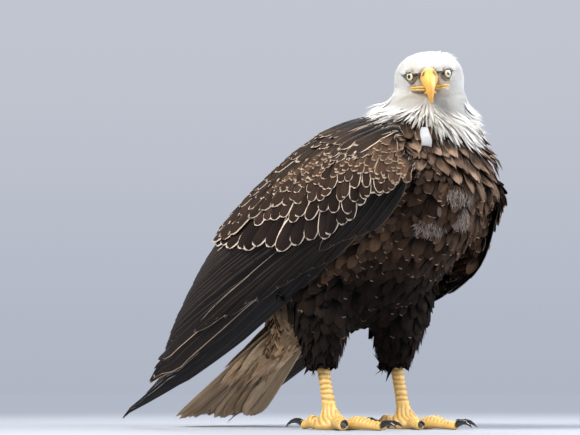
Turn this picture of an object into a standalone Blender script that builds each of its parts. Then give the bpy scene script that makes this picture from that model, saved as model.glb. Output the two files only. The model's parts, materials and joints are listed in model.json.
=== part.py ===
"""Bald eagle, life size, standing with its head turned over its right shoulder.

Metres, +Z up. The bird faces -Y and its left side is +X. Each limb, feather group, toe, talon
and part of the head is one closed solid, and neighbours meet with a gap of a fraction of a
millimetre. The shapes are lofts: rings of points placed along a line, whose sizes are read
from a few stations by a smooth curve.
"""

import math

import bmesh
import bpy
from mathutils import Matrix, Vector

GAP = 0.0006
# Points round the trunk, head and neck, round a leg's feathers, and round a bare shank
BODY_SIDES, THIGH_SIDES, SHANK_SIDES = 18, 14, 12
# Under 1 a ring's corners fill out towards a square
TRUNK_SQUARENESS, HEAD_SQUARENESS = 0.92, 0.88

# Trunk: its axis runs from the base of the neck down and back to the root of the tail.
TRUNK_FRONT = Vector((0.0, -0.100, 0.388))
TRUNK_BACK = Vector((0.0, 0.160, 0.165))
# distance along the axis, half width, height over the axis, depth under the axis
TRUNK_STATIONS = (
    (-0.040, 0.034, 0.002, 0.050),
    (-0.030, 0.066, 0.014, 0.082),
    (0.000, 0.094, 0.034, 0.118),
    (0.050, 0.108, 0.064, 0.132),
    (0.110, 0.110, 0.092, 0.136),
    (0.170, 0.104, 0.106, 0.130),
    (0.235, 0.088, 0.098, 0.112),
    (0.300, 0.064, 0.066, 0.080),
    (0.345, 0.034, 0.032, 0.042),
)

# Head: the skull's centre, and how far it is turned, nodded and tilted, in degrees.
SKULL = Vector((-0.001, -0.096, 0.471))
HEAD_TURN, HEAD_NOD, HEAD_TILT = -49.5, 10.0, -4.5
# distance ahead of the skull's centre, half width, crown over it, cheek under it
HEAD_STATIONS = (
    (-0.055, 0.018, 0.012, 0.020),
    (-0.045, 0.038, 0.032, 0.038),
    (-0.024, 0.0490, 0.0410, 0.048),
    (-0.004, 0.0490, 0.0420, 0.050),
    (0.010, 0.0440, 0.0400, 0.048),
    (0.022, 0.0345, 0.0340, 0.043),
    (0.033, 0.0250, 0.0270, 0.034),
    (0.043, 0.0175, 0.0205, 0.024),
)
# Neck cape: distance down from the skull, lean to the back, shift to the left, half width, half depth
NECK_STATIONS = (
    (0.008, 0.012, 0.000, 0.042, 0.036),
    (0.024, 0.014, -0.003, 0.060, 0.048),
    (0.040, 0.013, -0.006, 0.067, 0.060),
    (0.056, 0.012, -0.007, 0.072, 0.068),
    (0.072, 0.013, -0.003, 0.079, 0.076),
    (0.094, 0.016, 0.000, 0.087, 0.084),
    (0.112, 0.018, 0.000, 0.084, 0.080),
)

# Bill, in the head's own axes: how far the parts reach ahead of the skull and their depth.
BILL_ROOT = 0.0405
CERE_LENGTH = 0.015
BILL_HALF_WIDTH = 0.0114
BILL_TOP = 0.0165
GAPE = -0.0105
BILL_SEGMENTS = 14
RIDGE_PINCH = 0.30
# ridge's reach ahead of the skull and height, cutting edge's reach and height, half width
BILL_STATIONS = (
    (0.0555, 0.0165, 0.0555, -0.0105, 0.0114),
    (0.0610, 0.0155, 0.0585, -0.0112, 0.0108),
    (0.0665, 0.0115, 0.0612, -0.0122, 0.0096),
    (0.0712, 0.0050, 0.0634, -0.0138, 0.0080),
    (0.0742, -0.0035, 0.0652, -0.0162, 0.0063),
    (0.0753, -0.0125, 0.0668, -0.0195, 0.0049),
    (0.0750, -0.0210, 0.0684, -0.0240, 0.0036),
    (0.0738, -0.0275, 0.0702, -0.0285, 0.0023),
    (0.0727, -0.0312, 0.0717, -0.0315, 0.0009),
)
# Lower bill: how far behind the bill's root it starts, its length, half width and depth
LOWER_BACK, LOWER_REACH = 0.004, 0.0230
LOWER_HALF_WIDTH, LOWER_DEPTH = 0.0086, 0.0080
# Cere: how much higher it stands and wider it is at its root
CERE_RISE, CERE_FLARE = 0.003, 0.06
EYE_RADIUS = 0.0098
EYE_SIDE, EYE_AHEAD, EYE_UP = 0.0205, 0.0270, 0.0080

# Wing: the wrist, the tip, and the outline in the wing's own chart.
WRIST = Vector((0.122, -0.128, 0.338))
WING_TIP = Vector((0.118, 0.420, 0.012))
# The left wing is held a little closer and hangs lower in front than the right one.
LEFT_WRIST_SHIFT = Vector((-0.012, 0.020, -0.010))
LEFT_DROOP = 0.054
# distance from the wrist, lower edge, upper edge, how far the shell stands out from the chord
WING_STATIONS = (
    (-0.024, -0.020, 0.026, -0.030),
    (-0.014, -0.034, 0.052, -0.010),
    (0.020, -0.040, 0.102, 0.010),
    (0.080, -0.040, 0.140, 0.024),
    (0.140, -0.038, 0.156, 0.030),
    (0.240, -0.034, 0.160, 0.028),
    (0.350, -0.032, 0.147, 0.022),
    (0.430, -0.030, 0.112, 0.014),
    (0.500, -0.026, 0.072, 0.008),
    (0.555, -0.020, 0.040, 0.004),
    (0.600, -0.014, 0.020, 0.001),
    (0.630, -0.007, 0.010, 0.000),
)
# The chart's line that stands out most, as a share of the way up, and how far the upper and
# lower edges curl in from it
WING_MIDDLE = 0.36
WING_CROWN_IN, WING_CROWN_CURL = 0.105, 2.6
WING_LOW_IN = 0.016
WING_THICK_ARM, WING_THICK_TIP = 0.030, 0.0045
# Along the wing, where its coverts and secondaries end. The line over the primaries starts at
# HAND_LINE and climbs at HAND_SLOPE.
COVERTS_END, SECONDARIES_END = 0.270, 0.500
HAND_LINE, HAND_SLOPE = 0.012, 0.10

# Tail: root and tip of its middle line, spread at both ends, and the lobes of its end.
TAIL_ROOT = Vector((0.0, 0.128, 0.186))
TAIL_TIP = Vector((0.0, 0.352, 0.0))
TAIL_HALF_ROOT, TAIL_HALF_TIP = 0.038, 0.088
TAIL_THICK_ROOT, TAIL_THICK_TIP = 0.020, 0.0040
TAIL_ARCH = 0.016
TAIL_LOBES = 12
TAIL_LOBE_DEPTH = 0.005
TAIL_CORNER = 0.030
# Tail coverts: how far before the tail's root they start and how far under its line they lie
TAIL_COVERT_START, TAIL_COVERT_SINK = 0.050, 0.006
# distance along the tail, half width, height over its line, depth under it
TAIL_COVERT_STATIONS = (
    (0.000, 0.046, 0.030, 0.040),
    (0.050, 0.052, 0.034, 0.044),
    (0.100, 0.050, 0.024, 0.036),
    (0.140, 0.042, 0.014, 0.024),
    (0.168, 0.026, 0.008, 0.012),
)

# Legs
LEG_SIDE = 0.056
FOOT_Y = {"left": 0.000, "right": 0.036}
# height, backward lean, half width, half depth of the feathered thigh
THIGH_STATIONS = (
    (0.262, 0.034, 0.044, 0.060),
    (0.235, 0.026, 0.050, 0.068),
    (0.195, 0.014, 0.048, 0.064),
    (0.155, 0.012, 0.041, 0.050),
    (0.120, 0.016, 0.032, 0.037),
    (0.092, 0.018, 0.024, 0.027),
    (0.080, 0.018, 0.019, 0.021),
)
# height, backward lean, radius of the bare shank and palm
SHANK_STATIONS = (
    (0.000, 0.000, 0.0235),
    (0.0055, 0.000, 0.0262),
    (0.0120, 0.000, 0.0225),
    (0.0190, 0.002, 0.0150),
    (0.0290, 0.004, 0.0102),
    (0.0500, 0.009, 0.0088),
    (0.0780, 0.015, 0.0090),
    (0.1000, 0.019, 0.0098),
)
TOE_START = 0.0272
# toe: turn from straight ahead in degrees, length, radius, talon length
TOES = {
    "inner": (-34.0, 0.042, 0.0104, 0.034),
    "middle": (0.0, 0.064, 0.0100, 0.030),
    "outer": (34.0, 0.048, 0.0094, 0.026),
    "hind": (180.0, 0.028, 0.0106, 0.038),
}
TOE_RINGS, TOE_SEGMENTS = 7, 10
# a toe's thickness at its root, how much its pads swell and how much it thins, in its radius
TOE_ROOT_SHARE, TOE_SWELL, TOE_TAPER = 0.76, 0.26, 0.16
# the height of its middle over the floor, at its ends, and how much more at its knuckle
TOE_LOW, TOE_KNUCKLE = 0.80, 0.30
# talon: its slope at the root and at the point in radians, thickness of its root in toe radii
TALON_START_BEND, TALON_END_BEND = -0.55, 0.95
TALON_ROOT_SHARE = 0.52
# height of its root in toe radii
TALON_LIFT = 0.74
TALON_CLEAR = 0.0004
TALON_RINGS, TALON_SEGMENTS = 6, 8
SIDES = {"left": 1.0, "right": -1.0}

# name: colour, roughness
FINISHES = {
    "white_feather": ((0.86, 0.84, 0.78), 0.75),
    "brown_feather": ((0.060, 0.040, 0.030), 0.72),
    "dark_feather": ((0.022, 0.018, 0.018), 0.60),
    "tail_feather": ((0.50, 0.38, 0.26), 0.75),
    "bill_horn": ((0.86, 0.50, 0.08), 0.38),
    "foot_skin": ((0.83, 0.50, 0.07), 0.50),
    "talon_horn": ((0.020, 0.018, 0.018), 0.25),
    "eye": ((0.80, 0.74, 0.42), 0.10),
}


def clear_scene():
    for obj in list(bpy.data.objects):
        bpy.data.objects.remove(obj, do_unlink=True)


def make_collection(name):
    collection = bpy.data.collections.new(name)
    bpy.context.scene.collection.children.link(collection)
    return collection


def make_finishes():
    made = {}
    for name, (colour, roughness) in FINISHES.items():
        material = bpy.data.materials.new(name)
        material.use_nodes = True
        shader = material.node_tree.nodes["Principled BSDF"]
        shader.inputs["Base Color"].default_value = (*colour, 1.0)
        shader.inputs["Roughness"].default_value = roughness
        made[name] = material
    return made


def eased(stations, at):
    """The stations' numbers at this distance, by a cubic that doesn't overshoot."""
    at = min(max(at, min(stations[0][0], stations[-1][0])), max(stations[0][0], stations[-1][0]))
    for i in range(len(stations) - 1):
        a, b = stations[i], stations[i + 1]
        if min(a[0], b[0]) <= at <= max(a[0], b[0]):
            break
    before = stations[max(i - 1, 0)]
    after = stations[min(i + 2, len(stations) - 1)]
    span = b[0] - a[0]
    t = (at - a[0]) / span
    values = []
    for k in range(1, len(a)):
        rise = b[k] - a[k]
        slopes = []
        for p, q in ((before, b), (a, after)):
            slope = (q[k] - p[k]) / (q[0] - p[0]) * span
            slopes.append(0.0 if slope * rise <= 0 else math.copysign(min(abs(slope), 3 * abs(rise)), rise))
        s0, s1 = slopes
        t2, t3 = t * t, t * t * t
        values.append(
            a[k] * (2 * t3 - 3 * t2 + 1) + s0 * (t3 - 2 * t2 + t)
            + b[k] * (3 * t2 - 2 * t3) + s1 * (t3 - t2)
        )
    return values


def spread(low, high, count):
    return [low + (high - low) * i / (count - 1) for i in range(count)]


def smooth_step(low, high, value):
    t = min(max((value - low) / (high - low), 0.0), 1.0)
    return t * t * (3 - 2 * t)


def close_round(mesh, ring):
    """Closes a loft's end with triangles to the middle of its ring."""
    middle = mesh.verts.new(sum((v.co for v in ring), Vector()) / len(ring))
    for i in range(len(ring)):
        mesh.faces.new((ring[i], ring[(i + 1) % len(ring)], middle))


def close_flat(mesh, ring):
    """Closes the end of a bent shell with a ladder from its outer face to its inner one."""
    last = len(ring) - 1
    for i in range(len(ring) // 2 - 1):
        mesh.faces.new((ring[i], ring[i + 1], ring[last - i - 1], ring[last - i]))


def loft(name, rings, finish, collection, matrix=None, close_end=close_round):
    """A closed solid through rings of points that each go round the same way."""
    mesh = bmesh.new()
    made = [[mesh.verts.new(point) for point in ring] for ring in rings]
    count = len(rings[0])
    for low, high in zip(made, made[1:]):
        for i in range(count):
            j = (i + 1) % count
            mesh.faces.new((low[i], low[j], high[j], high[i]))
    for ring in (made[0], made[-1]):
        close_end(mesh, ring)
    bmesh.ops.triangulate(mesh, faces=mesh.faces)
    bmesh.ops.recalc_face_normals(mesh, faces=mesh.faces)
    data = bpy.data.meshes.new(name)
    mesh.to_mesh(data)
    if mesh.calc_volume(signed=True) < 0:
        data.flip_normals()
    mesh.free()
    data.materials.append(finish)
    data.shade_smooth()
    obj = bpy.data.objects.new(name, data)
    collection.objects.link(obj)
    if matrix:
        obj.matrix_world = matrix
    return obj


def egg_ring(centre, side, up, half_width, rise, drop, count, squareness=1.0):
    """A ring round centre that is rise high above it and drop deep below it."""
    ring = []
    for i in range(count):
        angle = 2 * math.pi * i / count
        c, s = math.cos(angle), math.sin(angle)
        across = math.copysign(abs(c) ** squareness, c) * half_width
        height = math.copysign(abs(s) ** squareness, s) * (rise if s > 0 else drop)
        ring.append(centre + side * across + up * height)
    return ring


def make_trunk(finish, collection):
    axis = (TRUNK_BACK - TRUNK_FRONT).normalized()
    side = Vector((1, 0, 0))
    up = side.cross(axis)
    rings = []
    for at in spread(TRUNK_STATIONS[0][0], TRUNK_STATIONS[-1][0], 13):
        half_width, rise, drop = eased(TRUNK_STATIONS, at)
        centre = TRUNK_FRONT + axis * at
        rings.append(egg_ring(centre, side, up, half_width, rise, drop, BODY_SIDES, TRUNK_SQUARENESS))
    return loft("trunk", rings, finish, collection)


def head_matrix():
    return (
        Matrix.Translation(SKULL)
        @ Matrix.Rotation(math.radians(HEAD_TURN), 4, "Z")
        @ Matrix.Rotation(math.radians(HEAD_NOD), 4, "X")
        @ Matrix.Rotation(math.radians(HEAD_TILT), 4, "Y")
    )


def make_head(finish, collection):
    side, up = Vector((1, 0, 0)), Vector((0, 0, 1))
    rings = []
    for at in spread(HEAD_STATIONS[0][0], HEAD_STATIONS[-1][0], 11):
        half_width, rise, drop = eased(HEAD_STATIONS, at)
        centre = Vector((0, -at, 0))
        rings.append(egg_ring(centre, side, up, half_width, rise, drop, BODY_SIDES, HEAD_SQUARENESS))
    return loft("head", rings, finish, collection, head_matrix())


def make_neck(finish, collection):
    """The cape of long feathers from the skull down over the shoulders."""
    rings = []
    turn = Matrix.Rotation(math.radians(HEAD_TURN), 4, "Z")
    for down in spread(NECK_STATIONS[0][0], NECK_STATIONS[-1][0], 8):
        lean, shift, half_width, half_depth = eased(NECK_STATIONS, down)
        eased_turn = turn.lerp(Matrix.Identity(4), smooth_step(0.02, 0.10, down))
        side = (eased_turn @ Vector((1, 0, 0))).normalized()
        back = (eased_turn @ Vector((0, 1, 0))).normalized()
        centre = SKULL + back * lean + side * shift - Vector((0, 0, down))
        rings.append(egg_ring(centre, side, back, half_width, half_depth, half_depth, BODY_SIDES))
    return loft("neck", rings, finish, collection)


def bill_ring(ridge, edge, half_width):
    """A rounded arch with a narrow top, from the bill's ridge down to its cutting edge."""
    middle, reach = (ridge + edge) / 2, (ridge - edge) / 2
    ring = []
    for i in range(BILL_SEGMENTS):
        angle = 2 * math.pi * i / BILL_SEGMENTS
        c, s = math.cos(angle), math.sin(angle)
        pinch = 1.0 - RIDGE_PINCH * max(s, 0.0) ** 2
        ring.append(middle + Vector((half_width * c * pinch, 0, 0)) + reach * s)
    return ring


def make_cere(finish, collection):
    rings = []
    for share in spread(0.0, 1.0, 4):
        at = BILL_ROOT + CERE_LENGTH * share - GAP
        ridge = Vector((0, -at, BILL_TOP + CERE_RISE * (1 - share)))
        edge = Vector((0, -at, GAPE + GAP))
        rings.append(bill_ring(ridge, edge, BILL_HALF_WIDTH * (1 + CERE_FLARE * (1 - share))))
    return loft("cere", rings, finish, collection, head_matrix())


def make_upper_bill(finish, collection):
    """The hooked upper half: each ring spans from the ridge to the cutting edge."""
    rings = []
    for ridge_at, ridge_up, edge_at, edge_up, half_width in BILL_STATIONS:
        ridge, edge = Vector((0, -ridge_at, ridge_up)), Vector((0, -edge_at, edge_up))
        rings.append(bill_ring(ridge, edge, half_width))
    return loft("bill_upper", rings, finish, collection, head_matrix())


def make_lower_bill(finish, collection):
    """The shorter lower half, whose end is round and hidden behind the hook."""
    rings = []
    top = GAPE - 2 * GAP
    for share in spread(0.0, 1.0, 7):
        at = BILL_ROOT - LOWER_BACK + LOWER_REACH * share
        size = 0.14 + 0.86 * math.sqrt(max(1 - share ** 2.2, 0.0))
        ridge, edge = Vector((0, -at, top)), Vector((0, -at, top - LOWER_DEPTH * size))
        rings.append(bill_ring(ridge, edge, LOWER_HALF_WIDTH * size))
    return loft("bill_lower", rings, finish, collection, head_matrix())


def make_eye(side_name, finish, collection):
    mesh = bmesh.new()
    bmesh.ops.create_uvsphere(mesh, u_segments=12, v_segments=8, radius=EYE_RADIUS)
    data = bpy.data.meshes.new("eye_" + side_name)
    mesh.to_mesh(data)
    mesh.free()
    data.materials.append(finish)
    data.shade_smooth()
    eye = bpy.data.objects.new("eye_" + side_name, data)
    collection.objects.link(eye)
    place = Vector((SIDES[side_name] * EYE_SIDE, -EYE_AHEAD, EYE_UP))
    eye.matrix_world = head_matrix() @ Matrix.Translation(place)
    return eye


def wrist_of(side):
    """The wrist, as for a wing on the +X side."""
    return WRIST + (LEFT_WRIST_SHIFT if side > 0 else Vector())


def wing_edges(along_m, side):
    """The chart's lower and upper edge, and how far the shell stands out, at this distance."""
    low, high, proud = eased(WING_STATIONS, along_m)
    if side > 0:
        droop = smooth_step(-0.02, 0.08, along_m) * (1 - smooth_step(0.12, 0.26, along_m))
        low -= LEFT_DROOP * droop
    return low, high, proud


def wing_skin(along_m, across_m, side):
    """A point of a wing's outer face, from its place in the wing's chart, as on the +X side."""
    wrist = wrist_of(side)
    along = (WING_TIP - wrist).normalized()
    up = Vector((0, -along.z, along.y)).normalized()
    low, high, proud = wing_edges(along_m, side)
    middle = low + (high - low) * WING_MIDDLE
    point = wrist + along * along_m + up * across_m
    if across_m > middle:
        share = (across_m - middle) / max(high - middle, 1e-6)
        tuck = WING_CROWN_IN * smooth_step(-0.08, 0.08, along_m) * (1 - smooth_step(0.42, 0.64, along_m))
        point.x += proud * (1 - share ** 2) - tuck * share ** WING_CROWN_CURL
    else:
        share = (middle - across_m) / max(middle - low, 1e-6)
        point.x += proud * (1 - share ** 2) - WING_LOW_IN * share ** 2
    return point


def wing_normal(along_m, across_m, side):
    step = 0.002
    along_m = min(max(along_m, WING_STATIONS[0][0] + step), WING_STATIONS[-1][0] - step)
    a = wing_skin(along_m + step, across_m, side) - wing_skin(along_m - step, across_m, side)
    b = wing_skin(along_m, across_m + step, side) - wing_skin(along_m, across_m - step, side)
    normal = a.cross(b)
    return normal.normalized() * (1 if normal.x > 0 else -1)


def wing_panel(name, side, start, end, low_at, high_at, rings_n, finish, collection):
    """Part of a wing: a shell between two lines of the chart, thick at the arm and thin at the tip."""
    rings = []
    across_n = 9
    for along_m in spread(start, end, rings_n):
        arm = 1 - smooth_step(0.10, 0.45, along_m)
        thick = WING_THICK_TIP + (WING_THICK_ARM - WING_THICK_TIP) * arm
        front = []
        back = []
        for i, across_m in enumerate(spread(low_at(along_m), high_at(along_m), across_n)):
            share = min(max(i / (across_n - 1), 0.02), 0.98)
            edge = 0.30 + 0.70 * math.sin(math.pi * share) ** 0.5
            point, normal = wing_skin(along_m, across_m, side), wing_normal(along_m, across_m, side)
            front.append(point)
            back.append(point - normal * thick * edge)
        ring = front + back[::-1]
        rings.append([Vector((p.x * side, p.y, max(p.z, 0.0))) for p in ring])
    return loft(name, rings, finish, collection, close_end=close_flat)


def make_wing(side_name, finishes, collection):
    side = SIDES[side_name]
    half_gap = GAP / 2

    def low(at):
        return wing_edges(at, side)[0]

    def high(at):
        return wing_edges(at, side)[1]

    def hand(at):
        """The line between the primaries, below, and the secondaries, above."""
        return HAND_LINE + (at - COVERTS_END) * HAND_SLOPE

    brown, dark = finishes["brown_feather"], finishes["dark_feather"]
    name = "wing_" + side_name
    return [
        wing_panel(name + "_coverts", side, WING_STATIONS[0][0], COVERTS_END - half_gap,
                   low, high, 11, brown, collection),
        wing_panel(name + "_secondaries", side, COVERTS_END + half_gap, SECONDARIES_END,
                   lambda at: hand(at) + GAP, high, 8, brown, collection),
        wing_panel(name + "_primaries", side, COVERTS_END + half_gap, WING_STATIONS[-1][0],
                   low, lambda at: min(hand(at) - GAP, high(at)), 11, dark, collection),
    ]


def make_tail(finish, collection):
    """Twelve feathers in one fan: arched across, with rounded lobes along its end."""
    axis = (TAIL_TIP - TAIL_ROOT).normalized()
    length = (TAIL_TIP - TAIL_ROOT).length
    over = Vector((0, -axis.z, axis.y))
    columns = 2 * TAIL_LOBES + 1
    rings = []
    for share in spread(0.0, 1.0, 5):
        half_width = TAIL_HALF_ROOT + (TAIL_HALF_TIP - TAIL_HALF_ROOT) * share ** 0.8
        thick = TAIL_THICK_ROOT + (TAIL_THICK_TIP - TAIL_THICK_ROOT) * share
        top = []
        under = []
        for i in range(columns):
            across = -1 + 2 * i / (columns - 1)
            lobe = TAIL_LOBE_DEPTH * abs(math.sin(math.pi * TAIL_LOBES * (across + 1) / 2))
            reach = length - TAIL_CORNER * across ** 4 + lobe - TAIL_LOBE_DEPTH
            arch = TAIL_ARCH * (1 - across * across) * share
            place = TAIL_ROOT + axis * (reach * share) + over * arch
            place.x = across * half_width
            edge = 1.0 - 0.6 * across ** 6
            top.append(place)
            under.append(place - over * thick * edge)
        ring = top + under[::-1]
        rings.append([Vector((p.x, p.y, max(p.z, 0.0))) for p in ring])
    return loft("tail", rings, finish, collection, close_end=close_flat)


def make_tail_coverts(finish, collection):
    """The soft feathers that wrap the tail's root, above and below."""
    axis = (TAIL_TIP - TAIL_ROOT).normalized()
    over = Vector((0, -axis.z, axis.y))
    start = TAIL_ROOT - axis * TAIL_COVERT_START - over * TAIL_COVERT_SINK
    side = Vector((1, 0, 0))
    rings = []
    for at in spread(0.0, TAIL_COVERT_STATIONS[-1][0], 7):
        half_width, rise, drop = eased(TAIL_COVERT_STATIONS, at)
        rings.append(egg_ring(start + axis * at, side, over, half_width, rise, drop, THIGH_SIDES))
    return loft("tail_coverts", rings, finish, collection)


def make_thigh(side_name, finish, collection):
    side, back = Vector((1, 0, 0)), Vector((0, 1, 0))
    rings = []
    for height in spread(THIGH_STATIONS[0][0], THIGH_STATIONS[-1][0], 8):
        lean, half_width, half_depth = eased(THIGH_STATIONS, height)
        centre = Vector((SIDES[side_name] * LEG_SIDE, FOOT_Y[side_name] + lean, height))
        rings.append(egg_ring(centre, side, back, half_width, half_depth, half_depth, THIGH_SIDES))
    return loft("thigh_" + side_name, rings, finish, collection)


def make_shank(side_name, finish, collection):
    side, back = Vector((1, 0, 0)), Vector((0, 1, 0))
    rings = []
    for height, lean, radius in SHANK_STATIONS:
        centre = Vector((SIDES[side_name] * LEG_SIDE, FOOT_Y[side_name] + lean, height))
        rings.append(egg_ring(centre, side, back, radius, radius, radius, SHANK_SIDES))
    return loft("shank_" + side_name, rings, finish, collection)


def make_toe(side_name, toe_name, finishes, collection):
    """A padded toe that lies on the floor, and the curved talon at its end."""
    turn, length, radius, talon = TOES[toe_name]
    angle = math.radians(turn) * -SIDES[side_name]
    heading = Vector((math.sin(angle), -math.cos(angle), 0))
    side = Vector((-heading.y, heading.x, 0))
    up = Vector((0, 0, 1))
    foot = Vector((SIDES[side_name] * LEG_SIDE, FOOT_Y[side_name], 0))
    rings = []
    for share in spread(0.0, 1.0, TOE_RINGS):
        arch = math.sin(math.pi * share)
        swell = math.sin(math.pi * min(share * 1.6, 1.0))
        size = radius * (TOE_ROOT_SHARE + TOE_SWELL * swell - TOE_TAPER * share)
        height = size * (TOE_LOW + TOE_KNUCKLE * arch)
        centre = foot + heading * (TOE_START + length * share) + up * height
        ring = egg_ring(centre, side, up, size, size * 0.92, size, TOE_SEGMENTS)
        for point in ring:
            point.z = max(point.z, 0.0)
        rings.append(ring)
    name = f"toe_{side_name}_{toe_name}"
    toe = loft(name, rings, finishes["foot_skin"], collection)

    base = foot + heading * (TOE_START + length + GAP) + up * (radius * TALON_LIFT)
    bow = talon / (TALON_END_BEND - TALON_START_BEND)
    rings = []
    for share in spread(0.0, 1.0, TALON_RINGS):
        bend = TALON_START_BEND + (TALON_END_BEND - TALON_START_BEND) * share
        reach = bow * (math.sin(bend) - math.sin(TALON_START_BEND))
        fall = bow * (math.cos(TALON_START_BEND) - math.cos(bend))
        size = radius * TALON_ROOT_SHARE * (0.06 + 0.94 * (1 - share) ** 0.8)
        centre = base + heading * reach - up * fall
        centre.z = max(centre.z, size + TALON_CLEAR)
        lean = bend if share else 0.0
        over = up * math.cos(lean) + heading * math.sin(lean)
        rings.append(egg_ring(centre, side, over, size * 0.85, size, size, TALON_SEGMENTS))
    return [toe, loft("talon" + name[3:], rings, finishes["talon_horn"], collection)]


def carve(target, neighbour, cutters):
    """Cuts the neighbour's uncut shape, grown by the gap, out of the target."""
    mesh = neighbour.data.copy()
    grown = [vertex.co + vertex.normal * GAP for vertex in mesh.vertices]
    for vertex, place in zip(mesh.vertices, grown):
        vertex.co = place
    cutter = bpy.data.objects.new(f"cut_{neighbour.name}_{target.name}", mesh)
    cutter.matrix_world = neighbour.matrix_world
    cutters.objects.link(cutter)
    cutter.hide_render = True
    cutter.display_type = "WIRE"
    modifier = target.modifiers.new("meet_" + neighbour.name, "BOOLEAN")
    modifier.operation = "DIFFERENCE"
    modifier.object = cutter


def centre_on_floor(parts, cutters):
    """Moves everything so that the box round the bird stands on the origin."""
    bpy.context.view_layer.update()
    graph = bpy.context.evaluated_depsgraph_get()
    corners = []
    for part in parts:
        shown = part.evaluated_get(graph)
        corners += [shown.matrix_world @ Vector(corner) for corner in shown.bound_box]
    middle = [(min(c[k] for c in corners) + max(c[k] for c in corners)) / 2 for k in range(2)]
    floor = min(c.z for c in corners)
    move = Matrix.Translation((-middle[0], -middle[1], -floor))
    for obj in [*parts, *cutters.objects]:
        obj.matrix_world = move @ obj.matrix_world


def main():
    clear_scene()
    finishes = make_finishes()
    bird = make_collection("bald_eagle")
    cutters = make_collection("cutters")
    white, brown = finishes["white_feather"], finishes["brown_feather"]

    head = make_head(white, bird)
    eyes = [make_eye(side, finishes["eye"], bird) for side in SIDES]
    cere = make_cere(finishes["bill_horn"], bird)
    upper = make_upper_bill(finishes["bill_horn"], bird)
    lower = make_lower_bill(finishes["bill_horn"], bird)
    neck = make_neck(white, bird)
    trunk = make_trunk(brown, bird)
    wings = {side: make_wing(side, finishes, bird) for side in SIDES}
    tail = make_tail(finishes["tail_feather"], bird)
    tail_coverts = make_tail_coverts(finishes["tail_feather"], bird)
    thighs = {side: make_thigh(side, brown, bird) for side in SIDES}
    shanks = {side: make_shank(side, finishes["foot_skin"], bird) for side in SIDES}
    toes = []
    for side in SIDES:
        for toe_name in TOES:
            toes += make_toe(side, toe_name, finishes, bird)

    for piece in (*eyes, cere, lower, upper):
        carve(head, piece, cutters)
    carve(cere, upper, cutters)
    carve(lower, upper, cutters)
    for piece in (head, lower):
        carve(neck, piece, cutters)
    carve(trunk, neck, cutters)
    for side in SIDES:
        carve(thighs[side], trunk, cutters)
        carve(thighs[side], shanks[side], cutters)
    carve(tail_coverts, trunk, cutters)
    for side in SIDES:
        carve(tail_coverts, thighs[side], cutters)
    carve(tail_coverts, tail, cutters)
    carve(tail, trunk, cutters)
    for side in SIDES:
        for panel in wings[side]:
            carve(panel, trunk, cutters)
        for neighbour in (neck, thighs[side]):
            carve(wings[side][0], neighbour, cutters)
        carve(wings[side][2], thighs[side], cutters)

    centre_on_floor(list(bird.objects), cutters)


main()
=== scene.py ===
import json
import math
from functools import partial

import bmesh
import bpy
import numpy as np
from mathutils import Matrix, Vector
from mathutils.bvhtree import BVHTree

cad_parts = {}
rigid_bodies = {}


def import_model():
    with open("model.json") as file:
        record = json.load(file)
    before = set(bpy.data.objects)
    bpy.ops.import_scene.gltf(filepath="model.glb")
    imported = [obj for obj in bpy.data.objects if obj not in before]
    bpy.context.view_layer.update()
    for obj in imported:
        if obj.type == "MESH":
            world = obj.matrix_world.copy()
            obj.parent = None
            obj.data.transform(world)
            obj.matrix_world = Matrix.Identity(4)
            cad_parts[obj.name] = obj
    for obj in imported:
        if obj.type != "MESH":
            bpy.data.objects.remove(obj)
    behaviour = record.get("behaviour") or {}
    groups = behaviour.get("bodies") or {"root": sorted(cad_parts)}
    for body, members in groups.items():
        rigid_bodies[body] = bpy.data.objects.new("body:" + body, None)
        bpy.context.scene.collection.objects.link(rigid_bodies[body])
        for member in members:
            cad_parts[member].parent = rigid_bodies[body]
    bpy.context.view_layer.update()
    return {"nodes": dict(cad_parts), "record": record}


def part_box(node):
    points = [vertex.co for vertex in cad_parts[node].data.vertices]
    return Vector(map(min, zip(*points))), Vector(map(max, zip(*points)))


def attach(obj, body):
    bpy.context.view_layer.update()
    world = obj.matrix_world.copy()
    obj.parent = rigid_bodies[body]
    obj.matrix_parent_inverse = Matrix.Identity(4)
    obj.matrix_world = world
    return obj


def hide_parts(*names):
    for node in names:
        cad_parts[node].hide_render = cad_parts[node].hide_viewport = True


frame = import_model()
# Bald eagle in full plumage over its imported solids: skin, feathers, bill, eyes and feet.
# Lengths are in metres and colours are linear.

rng = np.random.default_rng(20)

WHITE, IVORY = (0.84, 0.825, 0.79), (0.70, 0.65, 0.55)
# The bare lore's colour, and a painted shade that darkens its upper part under the brow
LORE, LORE_BROW_SHADE = np.array((0.42, 0.345, 0.25)), (0.70, 0.68, 0.66)
# Painted shade: the throat under the bill and the line between the lips; the lids' dark also serves as
# painted shadow under the brows
THROAT_SHADE, MOUTH_SHADE, LID_DARK_AND_BROW_SHADE = (0.25, 0.215, 0.16), (0.10, 0.065, 0.035), (0.035, 0.027, 0.022)
BREAST_BROWN, BREAST_UMBER = (0.0608, 0.0344, 0.02048), (0.0384, 0.02176, 0.01344)
BELLY_SHADE, COLLAR_BROWN = (0.0068, 0.0044, 0.00336), (0.036, 0.0225, 0.0155)
EDGE_BROWN, DOWN_GREY = (0.075, 0.044, 0.027), (0.40, 0.325, 0.275)
UMBER, SLATE = (0.024, 0.0136, 0.0084), (0.0165, 0.0112, 0.0094)
INK, SOOT = (0.0070, 0.0058, 0.0066), (0.0085, 0.0055, 0.0042)
LESSER, MEDIAN, GREATER = (0.076, 0.043, 0.025), (0.036, 0.0200, 0.0125), (0.0180, 0.0108, 0.0078)
RUFF_DARK, RUFF_LIGHT = (0.024, 0.0136, 0.0084), (0.066, 0.038, 0.024)
TAIL_TAN, TAIL_CREAM, TAIL_STAIN = (0.50, 0.315, 0.175), (0.66, 0.47, 0.29), (0.13, 0.080, 0.045)
# The loose feather's grey: partly its own grey-white tone, partly painted shade where it hangs over the ruff
LOOSE_GREY_AND_SHADE = (0.47, 0.475, 0.49)

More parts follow.
